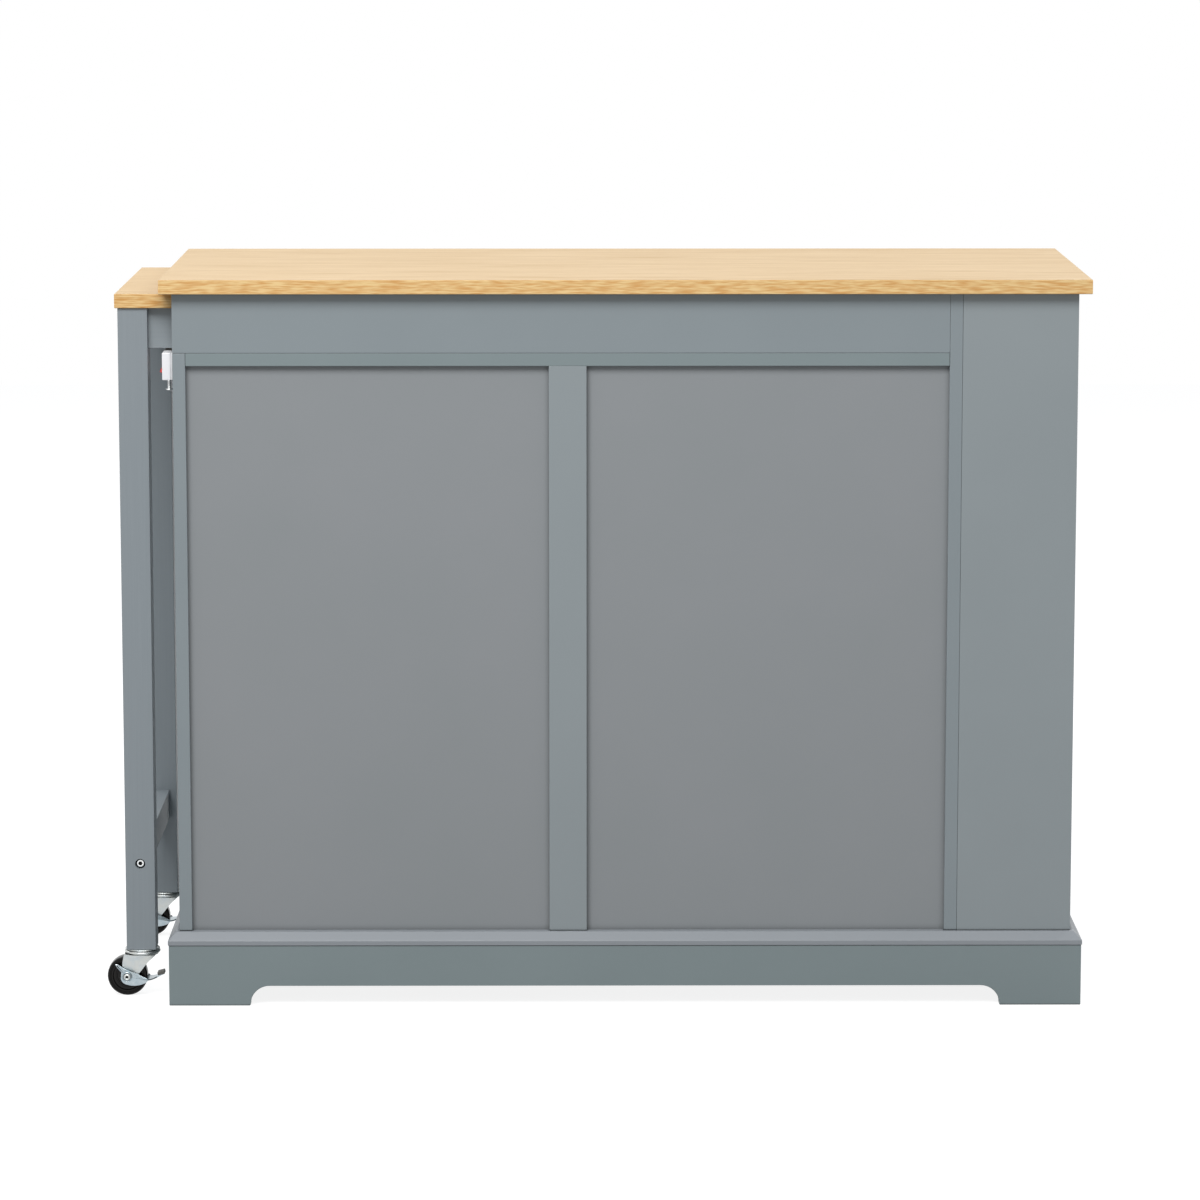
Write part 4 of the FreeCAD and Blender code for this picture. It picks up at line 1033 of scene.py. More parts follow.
@dataclass
class Caster(Sided):
    """Swivel caster under one leg: mount, pressed fork, rivet axle, wheel and brake lever."""

    flange: float = 21.9
    mount_skirt: float = 17.4
    crown_rim: float = 22.6
    crown_groove: float = 18.0
    crown_lip: float = 1.7
    cheek_thick: float = 1.8
    cheek_flat: float = 12.0
    cheek_wrap: float = 0.72
    lobe_radius: float = 8.0
    bore: float = 3.1
    rivet_half: float = 17.6
    plate_inner: float = 14.1
    plate_thick: float = 1.5
    tread_radius: float = 25.4
    pedal_thick: float = 1.6
    pad_half: tuple[float, float, float] = (4.6, 7.6, 2.0)
    pad_place: tuple[float, float, float] = (42.4, 0.0, 2.9)
    pad_tilt_deg: float = -15.0

    def __post_init__(self) -> None:
        """Read the axes from the model."""
        low, high = self.box("caster_wheel")
        self.hub = (low + high) / 2
        low, high = self.box("caster_mount")
        self.pivot = Vector(((low.x + high.x) / 2, (low.y + high.y) / 2, 0.0))
        self.top = high.z
        self.crown_top = self.box("caster_fork")[1].z
        self.trail = self.pivot.x - self.hub.x
        self.fork_body = f"{self.side}_caster"

    def build(self) -> None:
        """Make every piece of the caster."""
        self.build_mount()
        self.build_fork()
        self.build_axle()
        self.build_wheel()
        self.build_brake()
        self.build_pad()

    def build_mount(self) -> None:
        """Dished mount with its raceway skirt and the riveted kingpin."""
        top, rim, skirt = self.top, self.flange, self.mount_skirt
        profile = [
            (1.0, top), (rim - 1.0, top), (rim - 0.3, top - 0.2), (rim, top - 0.8),
            (rim - 0.3, top - 1.4), (rim - 1.0, top - 1.6), (skirt + 1.2, top - 1.6),
            (skirt, top - 2.4), (skirt, top - 3.4), (skirt - 1.2, top - 4.4),
            (skirt - 3.0, top - 4.4), (skirt - 4.2, top - 3.0), (7.0, top - 3.0),
            (4.0, top - 4.0), (4.0, top - 9.4), (6.0, top - 9.6), (5.6, top - 10.0),
            (2.5, top - 10.0), (1.0, top - 9.0),
        ]
        bm = bmesh.new()
        turn_on(bm, Axis.Z, self.pivot, profile, 64)
        self.make("caster_raceway", bm, ZINC, "side_table", "zinc_steel", "caster_mount")

    def build_fork(self) -> None:
        """Pressed fork: a crown with an upturned rim, and two cheeks that curve to the axle."""
        top, rim, lip = self.crown_top, self.crown_rim, self.crown_lip
        bead = [
            (rim - lip + lip * math.cos(a), top - lip + lip * math.sin(a))
            for a in (math.radians(150 - 30 * i) for i in range(8))
        ]
        ring = [
            (4.3, top - 4.8), (4.3, top - 3.6), (11.5, top - 3.4), (13.2, top - 4.6),
            (self.crown_groove, top - 4.4), *bead, (rim - 2.3, top - 4.4), (rim - 2.6, top - 5.4),
            (rim - 3.6, top - 6.0), (14.0, top - 5.9), (12.0, top - 4.9),
        ]
        bm = bmesh.new()
        turn_on(bm, Axis.Z, self.pivot, ring, 64, wrap=True)
        for sign in BOTH_SIDES:
            self.add_cheek(bm, sign)
        self.make("caster_yoke", bm, ZINC, self.fork_body, "zinc_steel", "caster_fork")

    def add_cheek(self, bm: BMesh, sign: int) -> None:
        """Cheek of the fork: flat at the axle and wrapped round the crown at its top.

        Args:
            bm: the fork's mesh.
            sign: -1 for the cheek towards the closed face, 1 for the other.
        """
        rise = self.crown_top - 4.6 - self.hub.z
        left = [(-7.7, -2.0), (-7.9, 2.0), (-6.8, 8.0), (-6.2, 14.0), (-5.4, 21.0), (-3.6, rise)]
        right = [(7.7, -2.0), (13.0, 2.0), (18.2, 7.8), (22.6, 13.8), (28.0, 20.4), (36.6, rise)]
        shares = [i / 14 for i in range(15)]
        thick = Vector((0, sign * self.cheek_thick, 0))
        loops = []
        for (left_x, left_z), (right_x, right_z) in zip(flow(left, 4), flow(right, 4)):
            row = []
            for share in shares:
                across = left_x + (right_x - left_x) * share
                up = left_z + (right_z - left_z) * share
                lift = min(max((up - 6.0) / (rise - 6.0), 0.0), 1.0)
                chord = (self.crown_rim - 1.6) ** 2 - (self.cheek_wrap * (across - self.trail)) ** 2
                depth = self.cheek_flat + (math.sqrt(chord) - self.cheek_flat) * lift**1.6
                rib = math.exp(-(((across - 8.2) / 1.7) ** 2)) * math.sin(math.pi * lift)
                row.append(self.hub + Vector((across, sign * (depth + rib), up)))
            loops.append(row + [point - thick for point in reversed(row)])
        skin(bm, loops)
        lobe = [
            (self.lobe_radius * math.cos(a), self.lobe_radius * math.sin(a))
            for a in round_angles(36)
        ]
        faces = (sign * (self.cheek_flat - self.cheek_thick), sign * (self.cheek_flat + 0.05))
        start = len(bm.verts)
        cut_out(bm, Axis.Y, lobe, *sorted(faces), self.bore)
        bm.verts.ensure_lookup_table()
        bmesh.ops.translate(bm, vec=self.hub, verts=bm.verts[start:])

    def build_axle(self) -> None:
        """Tubular rivet through the fork, with a rolled and hollow end on each side."""
        end = self.rivet_half
        profile = [
            (0.5, -end + 3.2), (1.5, -end + 3.0), (1.8, -end + 0.4), (2.6, -end), (4.0, -end + 0.6),
            (4.4, -end + 1.7), (4.0, -end + 2.4), (3.0, -end + 2.5),
        ]
        bm = bmesh.new()
        turn_on(bm, Axis.Y, self.hub, mirrored(profile), 40)
        self.make("caster_rivet", bm, ZINC, self.fork_body, "zinc_steel", "caster_axle")
        # A black washer under each rivet head, and a black disc in each hollow end as painted
        # shade.
        bm = bmesh.new()
        for sign in BOTH_SIDES:
            for ring in (
                [(4.1, end - 2.3), (4.8, end - 2.3), (4.8, end - 1.7), (4.1, end - 1.7)],
                [(0.2, end - 2.8), (1.75, end - 2.8), (1.75, end - 1.0), (0.2, end - 0.8)],
            ):
                turn_on(bm, Axis.Y, self.hub, ring, 32, True, sign)
        self.make("axle_washers_and_shade_plugs", bm, BLACK_WASHERS_AND_SHADE, self.fork_body, "zinc_steel")

    def build_wheel(self) -> None:
        """Moulded core with stepped faces, and the tread round it."""
        core = [
            (3.15, 10.6), (6.9, 10.6), (7.4, 10.1), (7.7, 7.0), (12.6, 6.6), (13.1, 7.3),
            (14.4, 7.3), (14.9, 6.6), (17.6, 6.8), (18.4, 9.3),
        ]
        tread = [
            (18.4, 9.4), (20.4, 9.9), (21.0, 9.3), (21.9, 9.3), (22.4, 9.9), (23.6, 9.6),
            (24.7, 8.6), (25.2, 7.2), (self.tread_radius, 5.0),
        ]
        body = f"{self.side}_wheel"
        for name, points, finish, node in (
            ("caster_core", core, CORE_NYLON, ""),
            ("caster_tread", tread, TREAD_RUBBER, "caster_wheel"),
        ):
            bm = bmesh.new()
            turn_on(bm, Axis.Y, self.hub, mirrored(points), 72, wrap=True)
            self.make(name, bm, finish, body, "caster_wheel", node, 28.0)

    def build_brake(self) -> None:
        """Brake lever: a plate each side of the fork and the curved pedal between them."""
        corners = [
            (-14.4, 16.2), (-9.6, 14.6), (-3.4, 10.8), (5.4, 6.8), (14.0, 3.2), (21.0, -0.4),
            (26.4, -3.0), (26.4, -5.2), (22.2, -8.6), (15.6, -10.8), (8.8, -11.6), (2.1, -10.9),
            (-4.3, -8.5), (-7.7, -3.7), (-7.6, 1.9), (-7.2, 5.6), (-10.6, 9.6), (-13.6, 13.4),
        ]
        outline = flow(corners, 4, closed=True)
        outer = self.plate_inner + self.plate_thick
        bm = bmesh.new()
        for sign in BOTH_SIDES:
            self.add_plate(bm, sign, outline)
            boss = [
                (7.0, outer - 0.6), (6.6, outer + 0.3), (5.9, outer + 0.8), (5.3, outer + 0.3),
                (5.3, outer - 0.6),
            ]
            turn_on(bm, Axis.Y, Vector(), boss, 36, True, sign)
            self.add_fold(bm, sign, outer)
        self.add_pedal(bm)
        bmesh.ops.translate(bm, vec=self.hub, verts=bm.verts[:])
        body = f"{self.side}_brake"
        self.make("brake_plates", bm, BLUE_ZINC, body, "zinc_steel", "brake_lever")

    def add_pedal(self, bm: BMesh) -> None:
        """Pedal that narrows and curves up from the plates.

        Args:
            bm: the lever's mesh.
        """
        line = [(25.0, -4.4), (28.0, -4.5), (32.0, -3.9), (37.0, -2.0), (41.5, 0.3), (46.0, 2.4)]
        path = flow(line, 5)
        last = len(path) - 1
        loops = []
        for i, (across, up) in enumerate(path):
            narrow = 1 - 0.55 * min(i / last * 1.6, 1.0) ** 0.8
            half = (self.plate_inner + self.plate_thick) * narrow
            ahead = Vector(path[min(i + 1, last)]) - Vector(path[max(i - 1, 0)])
            normal = Vector((-ahead.y, ahead.x)).normalized() * self.pedal_thick / 2
            loops.append([
                Vector((across + lift * normal.x, y, up + lift * normal.y))
                for y, lift in ((-half, -1), (half, -1), (half, 1), (-half, 1))
            ])
        skin(bm, loops)

    def build_pad(self) -> None:
        """Rubber pad on the pedal."""
        bm = bmesh.new()
        middle, half = self.hub + Vector(self.pad_place), Vector(self.pad_half)
        tilt = Matrix.Rotation(math.radians(self.pad_tilt_deg), 4, "Y")
        box_on(bm, middle - half, middle + half, tilt)
        bevel_all(bm, 1.0, 3)
        self.make("brake_pad", bm, PAD_RUBBER, f"{self.side}_brake", "caster_wheel")

    def add_plate(self, bm: BMesh, sign: int, outline: Flat) -> None:
        """Brake plate pressed with a slanted rim.

        Args:
            bm: the lever's mesh.
            sign: -1 for the plate towards the closed face, 1 for the other.
            outline: the plate's edge about the axle.
        """
        inner, outer = self.plate_inner, self.plate_inner + self.plate_thick
        slim, raised = inset(outline, 0.35), inset(outline, 1.5)
        bore = bore_rim(raised, self.bore)
        rows = (
            (outline, inner + 0.4), (outline, outer - 1.0), (slim, outer - 0.75), (raised, outer),
            (bore, outer), (bore, inner + 0.8), (raised, inner + 0.8), (slim, inner),
        )
        loops = [[Axis.Y.point(sign * depth, *point) for point in row] for row, depth in rows]
        skin(bm, loops, wrap=True)

    def add_fold(self, bm: BMesh, sign: int, face: float) -> None:
        """Rolled stiffening fold along the brake plate's upper edge.

        Args:
            bm: the lever's mesh.
            sign: -1 for the plate towards the closed face, 1 for the other.
            face: distance of the plate's outer face from the wheel's middle.
        """
        line = flow([(-12.6, 15.3), (-4.0, 10.2), (5.2, 6.0), (14.2, 2.2)], 5)
        loops = []
        for i, (across, up) in enumerate(line):
            radius = 1.35 * math.sin(math.pi * (0.12 + 0.76 * i / (len(line) - 1)))
            turns = [(radius * math.cos(a), radius * math.sin(a)) for a in round_angles(12)]
            loops.append([
                Vector((across - 0.35 * rise, sign * (face - 0.35 + 0.9 * out), up + rise))
                for rise, out in turns
            ])
        skin(bm, loops)


@dataclass
class LegBolts:
    """Socket-head bolts that hold the stretcher, sunk in the legs."""

    head_radius: float = 4.8
    head_high: float = 4.0
    socket: float = 2.5
    socket_deep: float = 2.4
    stem_radius: float = 3.0
    stem_long: float = 60.0
    shade_disc_radius: float = 2.7

    def build(self) -> None:
        """Both bolts, one each side of the table, with black cup washers that are partly painted
        bore shade.
        """
        low, high = box_mm("leg_bolts")
        mid = (low + high) / 2
        faces = ((low.y, -1), (high.y, 1))
        head, top = self.head_radius, self.head_high
        seats = [(Vector((mid.x, face - side * top, mid.z)), side) for face, side in faces]
        profile = [
            (self.stem_radius, -2.0), (head, 0.0), (head, 3.2), (head - 0.3, 3.75),
            (head - 0.9, top), (self.socket + 0.75, top),
        ]
        stem = [
            (self.stem_radius, -1.0), (self.stem_radius, -self.stem_long),
            (2.2, -self.stem_long - 2.0),
        ]
        bm = bmesh.new()
        for seat, side in seats:
            screw_head(bm, Axis.Y, seat, side, profile, Drive.HEX, self.socket, self.socket_deep)
            turn_on(bm, Axis.Y, seat, stem, 24, side=side)
        make_piece("leg_socket_bolts", bm, POLISHED_ZINC, "side_table", ["leg_bolts"])

        # Black cup washer lining each bore: a washer, and dark as painted shade of the bore.
        ring = [
            (3.3, -0.05), (6.2, -0.05), (6.3, 0.5), (5.9, 1.0), (5.1, 1.1), (5.1, 0.2), (3.3, 0.2),
        ]
        # Dark hex disc at each socket's floor: painted shade.
        flats = [
            (mid.x + self.shade_disc_radius * math.cos(a), mid.z + self.shade_disc_radius * math.sin(a))
            for a in round_angles(6, math.pi / 6)
        ]
        bm = bmesh.new()
        for seat, side in seats:
            turn_on(bm, Axis.Y, seat, ring, 40, True, side)
            cut_out(bm, Axis.Y, flats, *(seat.y + side * depth for depth in (1.4, 1.75)))
        make_piece("bolt_washers_and_socket_shade", bm, BLACK_WASHERS_AND_SHADE, "side_table")


@dataclass
class PanelScrews:
    """Cross-head screws through the side panel into the deck, set flush."""

    head_radius: float = 3.9
    head_high: float = 3.0
    from_end: float = 4.0

    def build(self) -> None:
        """Both screws."""
        low, high = box_mm("deck_screws")
        head = [(2.4, -0.2), (self.head_radius, 2.5), (self.head_radius, 2.9), (2.9, 2.9)]
        bm = bmesh.new()
        for y in (low.y + self.from_end, high.y - self.from_end):
            seat = Vector((low.x + self.head_high, y, (low.z + high.z) / 2))
            screw_head(bm, Axis.X, seat, -1, head, Drive.CROSS, 2.3, 1.8)
            turn_on(bm, Axis.X, seat, [(2.4, 0.0), (2.4, 36.0), (0.6, 41.0)], 20)
        make_piece("deck_panel_screws", bm, ZINC, "cabinet", ["deck_screws"])


@dataclass
class Door(Sided):
    """Framed door with a moulded step round its field, and its turned knob."""

    frame_width: float = 62.0
    recess: float = 6.0
    edge_round: float = 1.6

    def build(self) -> None:
        """Door and knob."""
        self.build_leaf()
        self.build_knob()

    def build_leaf(self) -> None:
        """Door as nested rectangles: back, rounded edge, frame, moulding and field."""
        low, high = self.box("door")
        front, back, width, curve = high.y, low.y, self.frame_width, self.edge_round
        steps = [
            (0.6, back), (0.0, back + 0.6), (0.0, front - curve),
            (curve * 0.3, front - curve * 0.3), (curve, front), (width - 7.0, front),
            (width - 6.4, front - 0.9), (width - 4.6, front - 1.4), (width - 2.6, front - 2.2),
            (width - 1.2, front - 3.6), (width - 0.6, front - 5.2), (width, front - self.recess),
            (width + 24.0, front - self.recess),
        ]
        loops = []
        for reach, depth in steps:
            x0, x1, z0, z1 = low.x + reach, high.x - reach, low.z + reach, high.z - reach
            corners = ((x0, z0), (x1, z0), (x1, z1), (x0, z1))
            loops.append([Vector((x, depth, z)) for x, z in corners])
        bm = bmesh.new()
        skin(bm, loops)
        body = f"{self.side}_door"
        self.make("framed_door", bm, DOOR_PAINT, body, "painted_doors", "door", 20.0)

    def build_knob(self) -> None:
        """Mushroom knob on a small rose."""
        low, high = self.box("door_knob")
        centre = Vector(((low.x + high.x) / 2, low.y, (low.z + high.z) / 2))
        profile = [
            (0.4, 0.05), (8.5, 0.05), (8.5, 1.5), (7.4, 2.4), (5.6, 4.4), (5.3, 9.0), (6.2, 14.6),
            (11.0, 16.6), (14.6, 18.4), (14.9, 20.6), (12.6, 23.2), (7.6, 24.8), (0.4, 24.9),
        ]
        bm = bmesh.new()
        turn_on(bm, Axis.Y, centre, soften(profile, 1.4), 64)
        body = f"{self.side}_door"
        self.make("turned_knob", bm, NICKEL, body, "nickel_knob", "door_knob", 50.0)


@dataclass
class HingePins:
    """Loose pins of the four butt hinges, each with a ball tip above and below."""

    radius: float = 1.5
    tip_radius: float = 3.0
    long: float = 68.0

    def build(self) -> None:
        """All four pins."""
        low, high = box_mm("hinge_pins")
        tip = self.tip_radius
        ball = [(0.3, 0.0), (1.5, 0.15), (2.3, 0.7), (2.5, 1.3), (tip, 1.5), (tip, 2.0)]
        profile = mirrored([*ball, (self.radius, 2.0)], self.long)
        bm = bmesh.new()
        for x in (low.x + tip, high.x - tip):
            for start in (low.z, high.z - self.long):
                turn_on(bm, Axis.Z, Vector((x, (low.y + high.y) / 2, start)), profile, 28)
        make_piece("hinge_ball_pins", bm, NICKEL, "cabinet", ["hinge_pins"], 50.0)


@dataclass
class Catches:
    """Magnet catches under the deck, with pole plates in a slim moulding."""

    width: float = 12.0
    pole_offsets: tuple[float, float] = (3.4, 7.6)
    pole_thick: float = 1.0
    pole_deep: float = 6.0
    pole_from_edge: float = 5.0
    pole_proud: float = 1.4

    def build(self) -> None:
        """Both catches and their plates."""
        low, high = box_mm("door_catches")
        shells, plates = bmesh.new(), bmesh.new()
        bottom, top = low.z + self.pole_from_edge, high.z - self.pole_from_edge
        for x in (low.x, high.x - self.width):
            face = high.y - self.pole_proud
            box_on(shells, (x, low.y, low.z), (x + self.width, face, high.z))
            for offset in self.pole_offsets:
                corner = (x + offset, high.y - self.pole_deep, bottom)
                box_on(plates, corner, (x + offset + self.pole_thick, high.y, top))
        bevel_all(shells, 1.0, 3)
        bevel_all(plates, 0.2, 1)
        make_piece("magnet_catches", shells, CATCH_PLASTIC, "cabinet", ["door_catches"])
        make_piece("catch_poles", plates, MAGNET_STEEL, "cabinet")


@dataclass
class PowerStrip:
    """Power strip on the side panel: shell, back plate, outlets, rocker, clamp screw and gland."""

    shell_round: float = 1.3
    plate_thick: float = 3.4
    outlet_shares: tuple[float, float] = (0.38, 0.74)
    outlet_half: float = 15.0
    rim_proud: float = 0.45
    rim_share: float = 0.94
    blade_off: float = 6.35
    blade_half: float = 0.9
    cut_deep: float = 9.0
    well_half: float = 10.8
    well_deep: float = 8.5
    well_gap: float = 0.5
    rocker_tilt: float = 9.0
    screw_pitch: float = 0.9

    def __post_init__(self) -> None:
        """Read the housing's box and the rocker's from the model."""
        self.low, self.high = box_mm("strip_housing")
        self.level = (self.low.z + self.high.z) / 2
        self.rocker_low, self.rocker_high = box_mm("power_rocker")
        span = self.high.y - self.low.y
        self.outlets = [self.low.y + share * span for share in self.outlet_shares]

    def build(self) -> None:
        """Every piece of the strip."""
        self.build_shell()
        self.build_back_plate()
        self.build_outlet_rims()
        self.build_rocker()
        self.build_screw()
        self.build_gland()

    def build_shell(self) -> None:
        """Shell with a rocker well, and two blade slots and an earth hole for each outlet."""
        face, level = self.low.x, self.level
        bm = bmesh.new()
        box_on(bm, self.low, (self.high.x - self.plate_thick, self.high.y, self.high.z))
        bevel_all(bm, self.shell_round, 4)
        cutters = bmesh.new()
        well = (face - 1.0, self.rocker_low.y - self.well_gap, level - self.well_half)
        end = self.rocker_high.y + self.well_gap
        box_on(cutters, well, (face + self.well_deep, end, level + self.well_half))
        for middle in self.outlets:
            for y in (middle - self.blade_off, middle + self.blade_off):
                corner = (face + self.cut_deep, y + self.blade_half, level + 7.0)
                box_on(cutters, (face - 1.0, y - self.blade_half, level), corner)
            earth = [(2.4, -1.0), (2.4, self.cut_deep)]
            turn_on(cutters, Axis.X, Vector((face, middle, level - 7.0)), earth, 24)
        shell = make_piece(
            "strip_shell", bm, STRIP_ABS, "cabinet", ["strip_housing"], 30.0
        )
        carve(shell, cutters)

    def build_back_plate(self) -> None:
        """Slim back plate behind the shell, set in from its sides."""
        bm = bmesh.new()
        low = (self.high.x - self.plate_thick, self.low.y + 0.6, self.low.z + 0.4)
        box_on(bm, low, (self.high.x, self.high.y - 0.6, self.high.z - 0.4))
        bevel_all(bm, 0.7, 2)
        make_piece("strip_back_plate", bm, BACKPLATE_ABS, "cabinet")

    def build_outlet_rims(self) -> None:
        """Raised square rim round each outlet, with round corners."""
        half, level, face = self.outlet_half, self.level, self.low.x
        bm = bmesh.new()
        for middle in self.outlets:
            signs = ((-1, -1), (1, -1), (1, 1), (-1, 1))
            corners = [(middle + y * half, level + z * half) for y, z in signs]
            outer = soften(corners, 5.0, closed=True, steps=5)
            inner = [
                (middle + (y - middle) * self.rim_share, level + (z - level) * self.rim_share)
                for y, z in outer
            ]
            root, top = face + 0.3, face - self.rim_proud
            rows = ((root, outer), (top, outer), (top, inner), (root, inner))
            skin(bm, [[Vector((x, y, z)) for y, z in line] for x, line in rows], wrap=True)
        make_piece("outlet_rims", bm, STRIP_ABS, "cabinet")

    def build_rocker(self) -> None:
        """Two-faced rocker with a softened ridge and a rounded heel on each side."""
        low, high, tilt = self.rocker_low, self.rocker_high, self.rocker_tilt
        pivot = Vector((self.low.x + 5.0, 0.0, self.level))
        # Distance from the pivot and turn from the ridge of each corner.
        corners = ((11.7, 50.0), (4.4, 0.0), (11.7, -50.0), (9.4, -80.0), (-3.0, 0.0), (9.4, 80.0))
        points = []
        for length, turn in corners:
            angle = math.radians(tilt + turn)
            points.append((-length * math.cos(angle), length * math.sin(angle)))
        outline = soften(points, 2.6, closed=True, steps=6)
        end = 0.93
        rows = ((low.y + 0.1, end), (low.y + 0.6, 1.0), (high.y - 0.6, 1.0), (high.y - 0.1, end))
        bm = bmesh.new()
        skin(bm, [
            [pivot + Vector((x * shrink, y, z * shrink)) for x, z in outline] for y, shrink in rows
        ])
        make_piece("red_rocker", bm, ROCKER_RED, "rocker", ["power_rocker"])

    def build_screw(self) -> None:
        """Clamp screw below the housing: a threaded stem and a flared foot."""
        low, high = box_mm("strip_clamp_screw")
        centre = Vector(((low.x + high.x) / 2 - 0.9, (low.y + high.y) / 2, low.z))
        top, pitch = high.z - low.z, self.screw_pitch
        profile = [
            (0.4, 0.0), (3.2, 0.0), (4.1, 0.35), (4.6, 1.0), (4.4, 1.8), (3.4, 2.4), (2.4, 2.8),
        ]
        for i in range(int((top - 3.4) / pitch)):
            start = 3.0 + i * pitch
            profile += [(2.1, start), (2.4, start + pitch * 0.5)]
        profile += [(2.1, top - 0.2), (2.1, top)]
        bm = bmesh.new()
        turn_on(bm, Axis.Z, centre, profile, 32)
        nodes = ["strip_clamp_screw"]
        make_piece("clamp_thumb_screw", bm, POLISHED_ZINC, "cabinet", nodes, 60.0)

    def build_gland(self) -> None:
        """Ribbed gland at the far end, bare because no cord shows."""
        low, high = box_mm("strip_cord_gland")
        centre = Vector(((low.x + high.x) / 2, low.y, (low.z + high.z) / 2))
        profile = [(2.2, 1.2), (2.2, -0.5), (4.5, -0.5), (4.5, 1.2)]
        for i in range(3):
            start, outer = 1.4 + i * 2.2, 4.2 - 0.35 * i
            neck = outer - 0.7
            profile += [
                (neck, start), (neck, start + 0.7), (outer, start + 1.0), (outer, start + 1.9),
            ]
        profile += [(2.9, 8.8), (2.4, 8.9), (2.2, 8.4)]
        bm = bmesh.new()
        turn_on(bm, Axis.Y, centre, profile, 32, wrap=True)
        nodes = ["strip_cord_gland"]
        make_piece("ribbed_gland", bm, GLAND_PVC, "cabinet", nodes, 40.0)


@dataclass
class RunnerBalls:
    """Steel balls in the races of both runners, in short rows that show when the table is out."""

    radius: float = 1.5
    per_row: int = 9
    from_end: float = 24.0
    from_wall: float = 2.6

    def build(self) -> None:
        """Balls between the outer and middle members, riding with the middle ones."""
        low, high = box_mm("runner_middle_members")
        pitch = (high.x - low.x - 2 * self.from_end) / (self.per_row - 1)
        lift = self.radius * 1.6
        bm = bmesh.new()
        for y in (low.y + self.from_wall, high.y - self.from_wall):
            for level in (low.z + lift, high.z - lift):
                for i in range(self.per_row):
                    spot = Vector((low.x + self.from_end + i * pitch, y, level))
                    place = Matrix.Translation(spot)
                    bmesh.ops.create_icosphere(bm, subdivisions=2, radius=self.radius, matrix=place)
        make_piece("runner_balls", bm, ZINC, "runner_middles", smooth_deg=80.0)


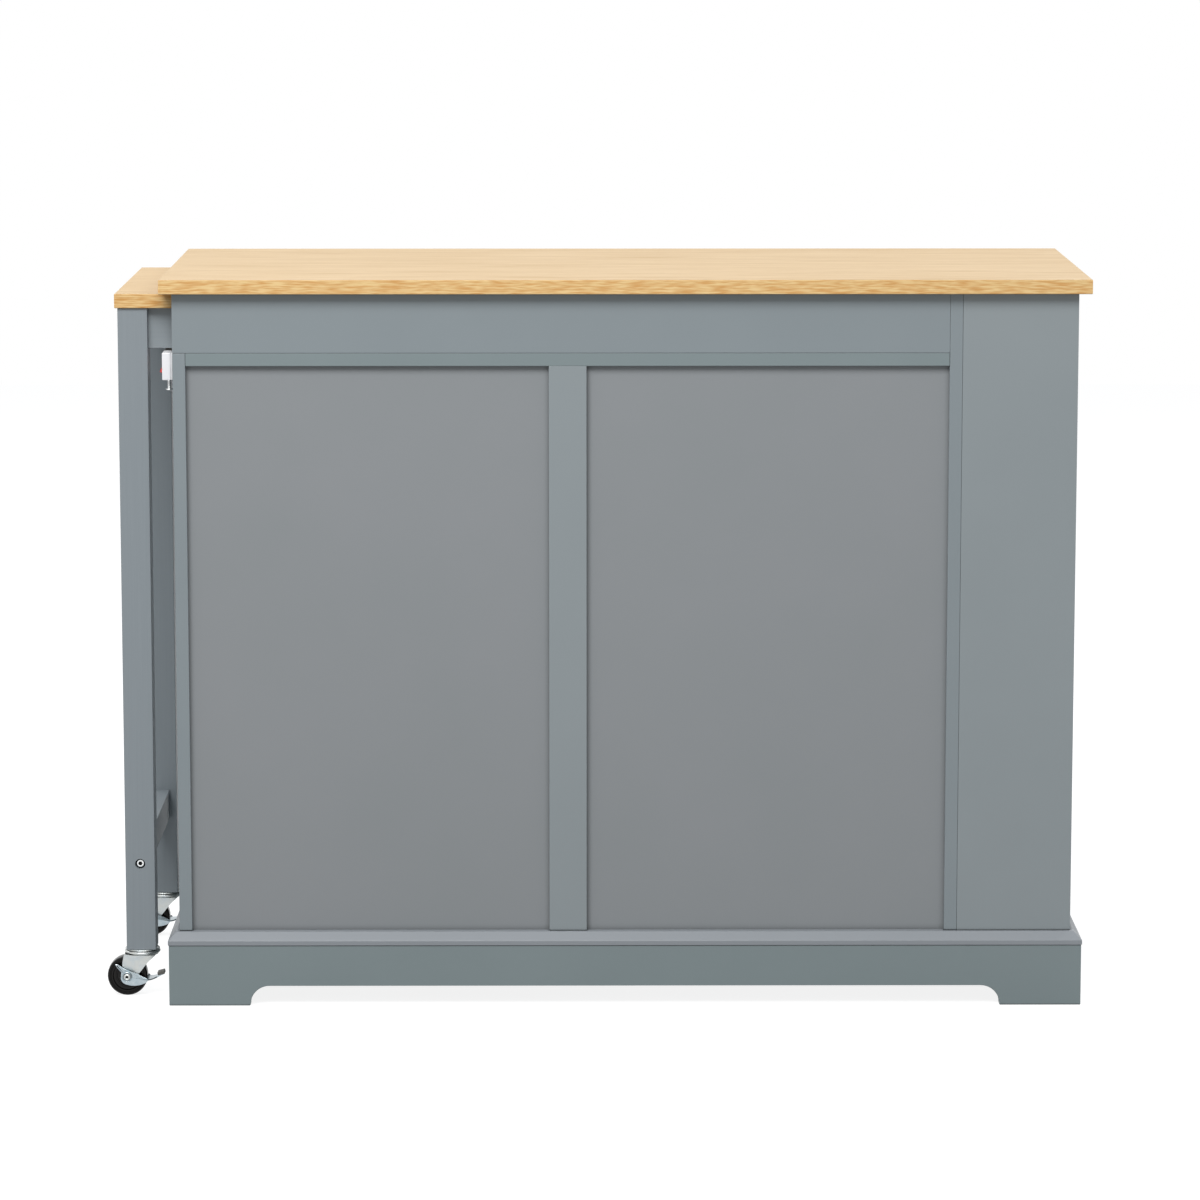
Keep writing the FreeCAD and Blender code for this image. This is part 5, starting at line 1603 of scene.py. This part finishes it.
@dataclass
class Studio:
    """Plain pale floor, soft lamps and the camera."""

    camera_place: tuple[float, float, float] = (-20.3, -6266.0, 1437.2)
    pitch_deg: float = 8.7
    yaw_deg: float = 0.277
    focal_px: float = 4905.5
    picture_px: float = 1200.0
    sensor: float = 36.0
    floor_half: float = 7000.0
    floor_level: float = -0.2
    floor_glow: float = 0.86
    # Grey of the floor that lights the island from below, and of the one that the camera sees.
    floor_grey: float = 0.36
    floor_seen: float = 0.3
    world_light: float = 0.41

    def build(self) -> None:
        """Camera, floor, lamps and view settings."""
        self.build_camera()
        self.build_floor()
        self.build_world()
        for name, place, target, size, watts in (
            ("front_softbox", (-800, -3000, 3650), (0, 0, 600), (2800, 1800), 157.0),
            ("right_rear_softbox", (2500, 2200, 3300), (0, 0, 450), (2200, 1700), 66.0),
            ("left_rear_softbox", (-2600, 1900, 3300), (0, 0, 450), (2200, 1700), 44.0),
        ):
            data = bpy.data.lights.new(name, "AREA")
            data.shape = "RECTANGLE"
            data.size, data.size_y = size[0] / MM_PER_M, size[1] / MM_PER_M
            data.energy = watts
            self.hang(data, place, Vector(target) - Vector(place))
        bpy.context.scene.view_settings.view_transform = "Standard"

    def hang(self, data: Any, place: Sequence[float], ahead: Vector) -> bpy.types.Object:
        """Add a camera or a lamp.

        Args:
            data: its settings, whose name it gets.
            place: where it is, in millimetres.
            ahead: the direction that it looks along.

        Returns:
            The new object.
        """
        thing = add_object(data.name, data)
        thing.location = Vector(place) / MM_PER_M
        thing.rotation_mode = "QUATERNION"
        thing.rotation_quaternion = ahead.to_track_quat("-Z", "Y")
        return thing

    def build_camera(self) -> None:
        """Camera at the photograph's angle."""
        data = bpy.data.cameras.new("camera")
        data.sensor_width = self.sensor
        data.lens = self.focal_px / self.picture_px * self.sensor
        data.clip_start, data.clip_end = 0.1, 500.0
        pitch, yaw = math.radians(self.pitch_deg), math.radians(self.yaw_deg)
        level = math.cos(pitch)
        ahead = Vector((math.sin(yaw) * level, math.cos(yaw) * level, -math.sin(pitch)))
        bpy.context.scene.camera = self.hang(data, self.camera_place, ahead)

    def by_view(self, tree: NodeTree, output: str, lit: Any, seen: Any) -> None:
        """Light the island by one shader, and show the camera another.

        Args:
            tree: the node tree of the floor or the world.
            output: the type of its output node.
            lit: the shader that the island gets.
            seen: the shader that the camera sees, also in a mirror or through glass.
        """
        ray = add_node(tree, "ShaderNodeLightPath").outputs
        viewed = ray["Is Camera Ray"]
        for other in ("Is Glossy Ray", "Is Transmission Ray"):
            either = {0: viewed, 1: ray[other]}
            viewed = add_node(tree, "ShaderNodeMath", {"operation": "MAXIMUM"}, either).outputs[0]
        links = {0: viewed, 1: lit.outputs[0], 2: seen.outputs[0]}
        chosen = add_node(tree, "ShaderNodeMixShader", links=links)
        add_node(tree, output, links={"Surface": chosen.outputs[0]})

    def build_floor(self) -> None:
        """White floor that keeps a soft shadow of the island."""
        half = self.floor_half
        bm = bmesh.new()
        corners = [(-half, -half), (half, -half), (half, half), (-half, half)]
        bm.faces.new([bm.verts.new((x, y, self.floor_level)) for x, y in corners])
        floor = add_object("studio_floor", mesh_of("studio_floor", bm))
        material = bpy.data.materials.new("studio_floor")
        tree = bare_tree(material)
        lit, dim = (
            add_node(tree, "ShaderNodeBsdfDiffuse", {"Color": (grey, grey, grey, 1.0)})
            for grey in (self.floor_grey, self.floor_seen)
        )
        glow = add_node(tree, "ShaderNodeEmission", {"Strength": self.floor_glow})
        white = add_node(tree, "ShaderNodeAddShader", links={0: dim.outputs[0], 1: glow.outputs[0]})
        self.by_view(tree, "ShaderNodeOutputMaterial", lit, white)
        floor.data.materials.append(material)

    def build_world(self) -> None:
        """Soft even light, seen as white."""
        world = bpy.data.worlds.new("studio_world")
        bpy.context.scene.world = world
        tree = bare_tree(world)
        lit, white = (
            add_node(tree, "ShaderNodeBackground", {"Color": linear(colour), "Strength": strength})
            for colour, strength in (("#f6f8fb", self.world_light), ("#ffffff", 1.0))
        )
        self.by_view(tree, "ShaderNodeOutputWorld", lit, white)


def main() -> None:
    """Build the studio and dress the island."""
    logging.basicConfig(level=logging.INFO, format="%(message)s")
    Studio().build()
    Boards().dress()
    for side in ("near", "far"):
        Caster(side).build()
    LegBolts().build()
    PanelScrews().build()
    for side in ("left", "right"):
        Door(side).build()
    HingePins().build()
    Catches().build()
    PowerStrip().build()
    RunnerBalls().build()


if __name__ == "__main__":
    main()
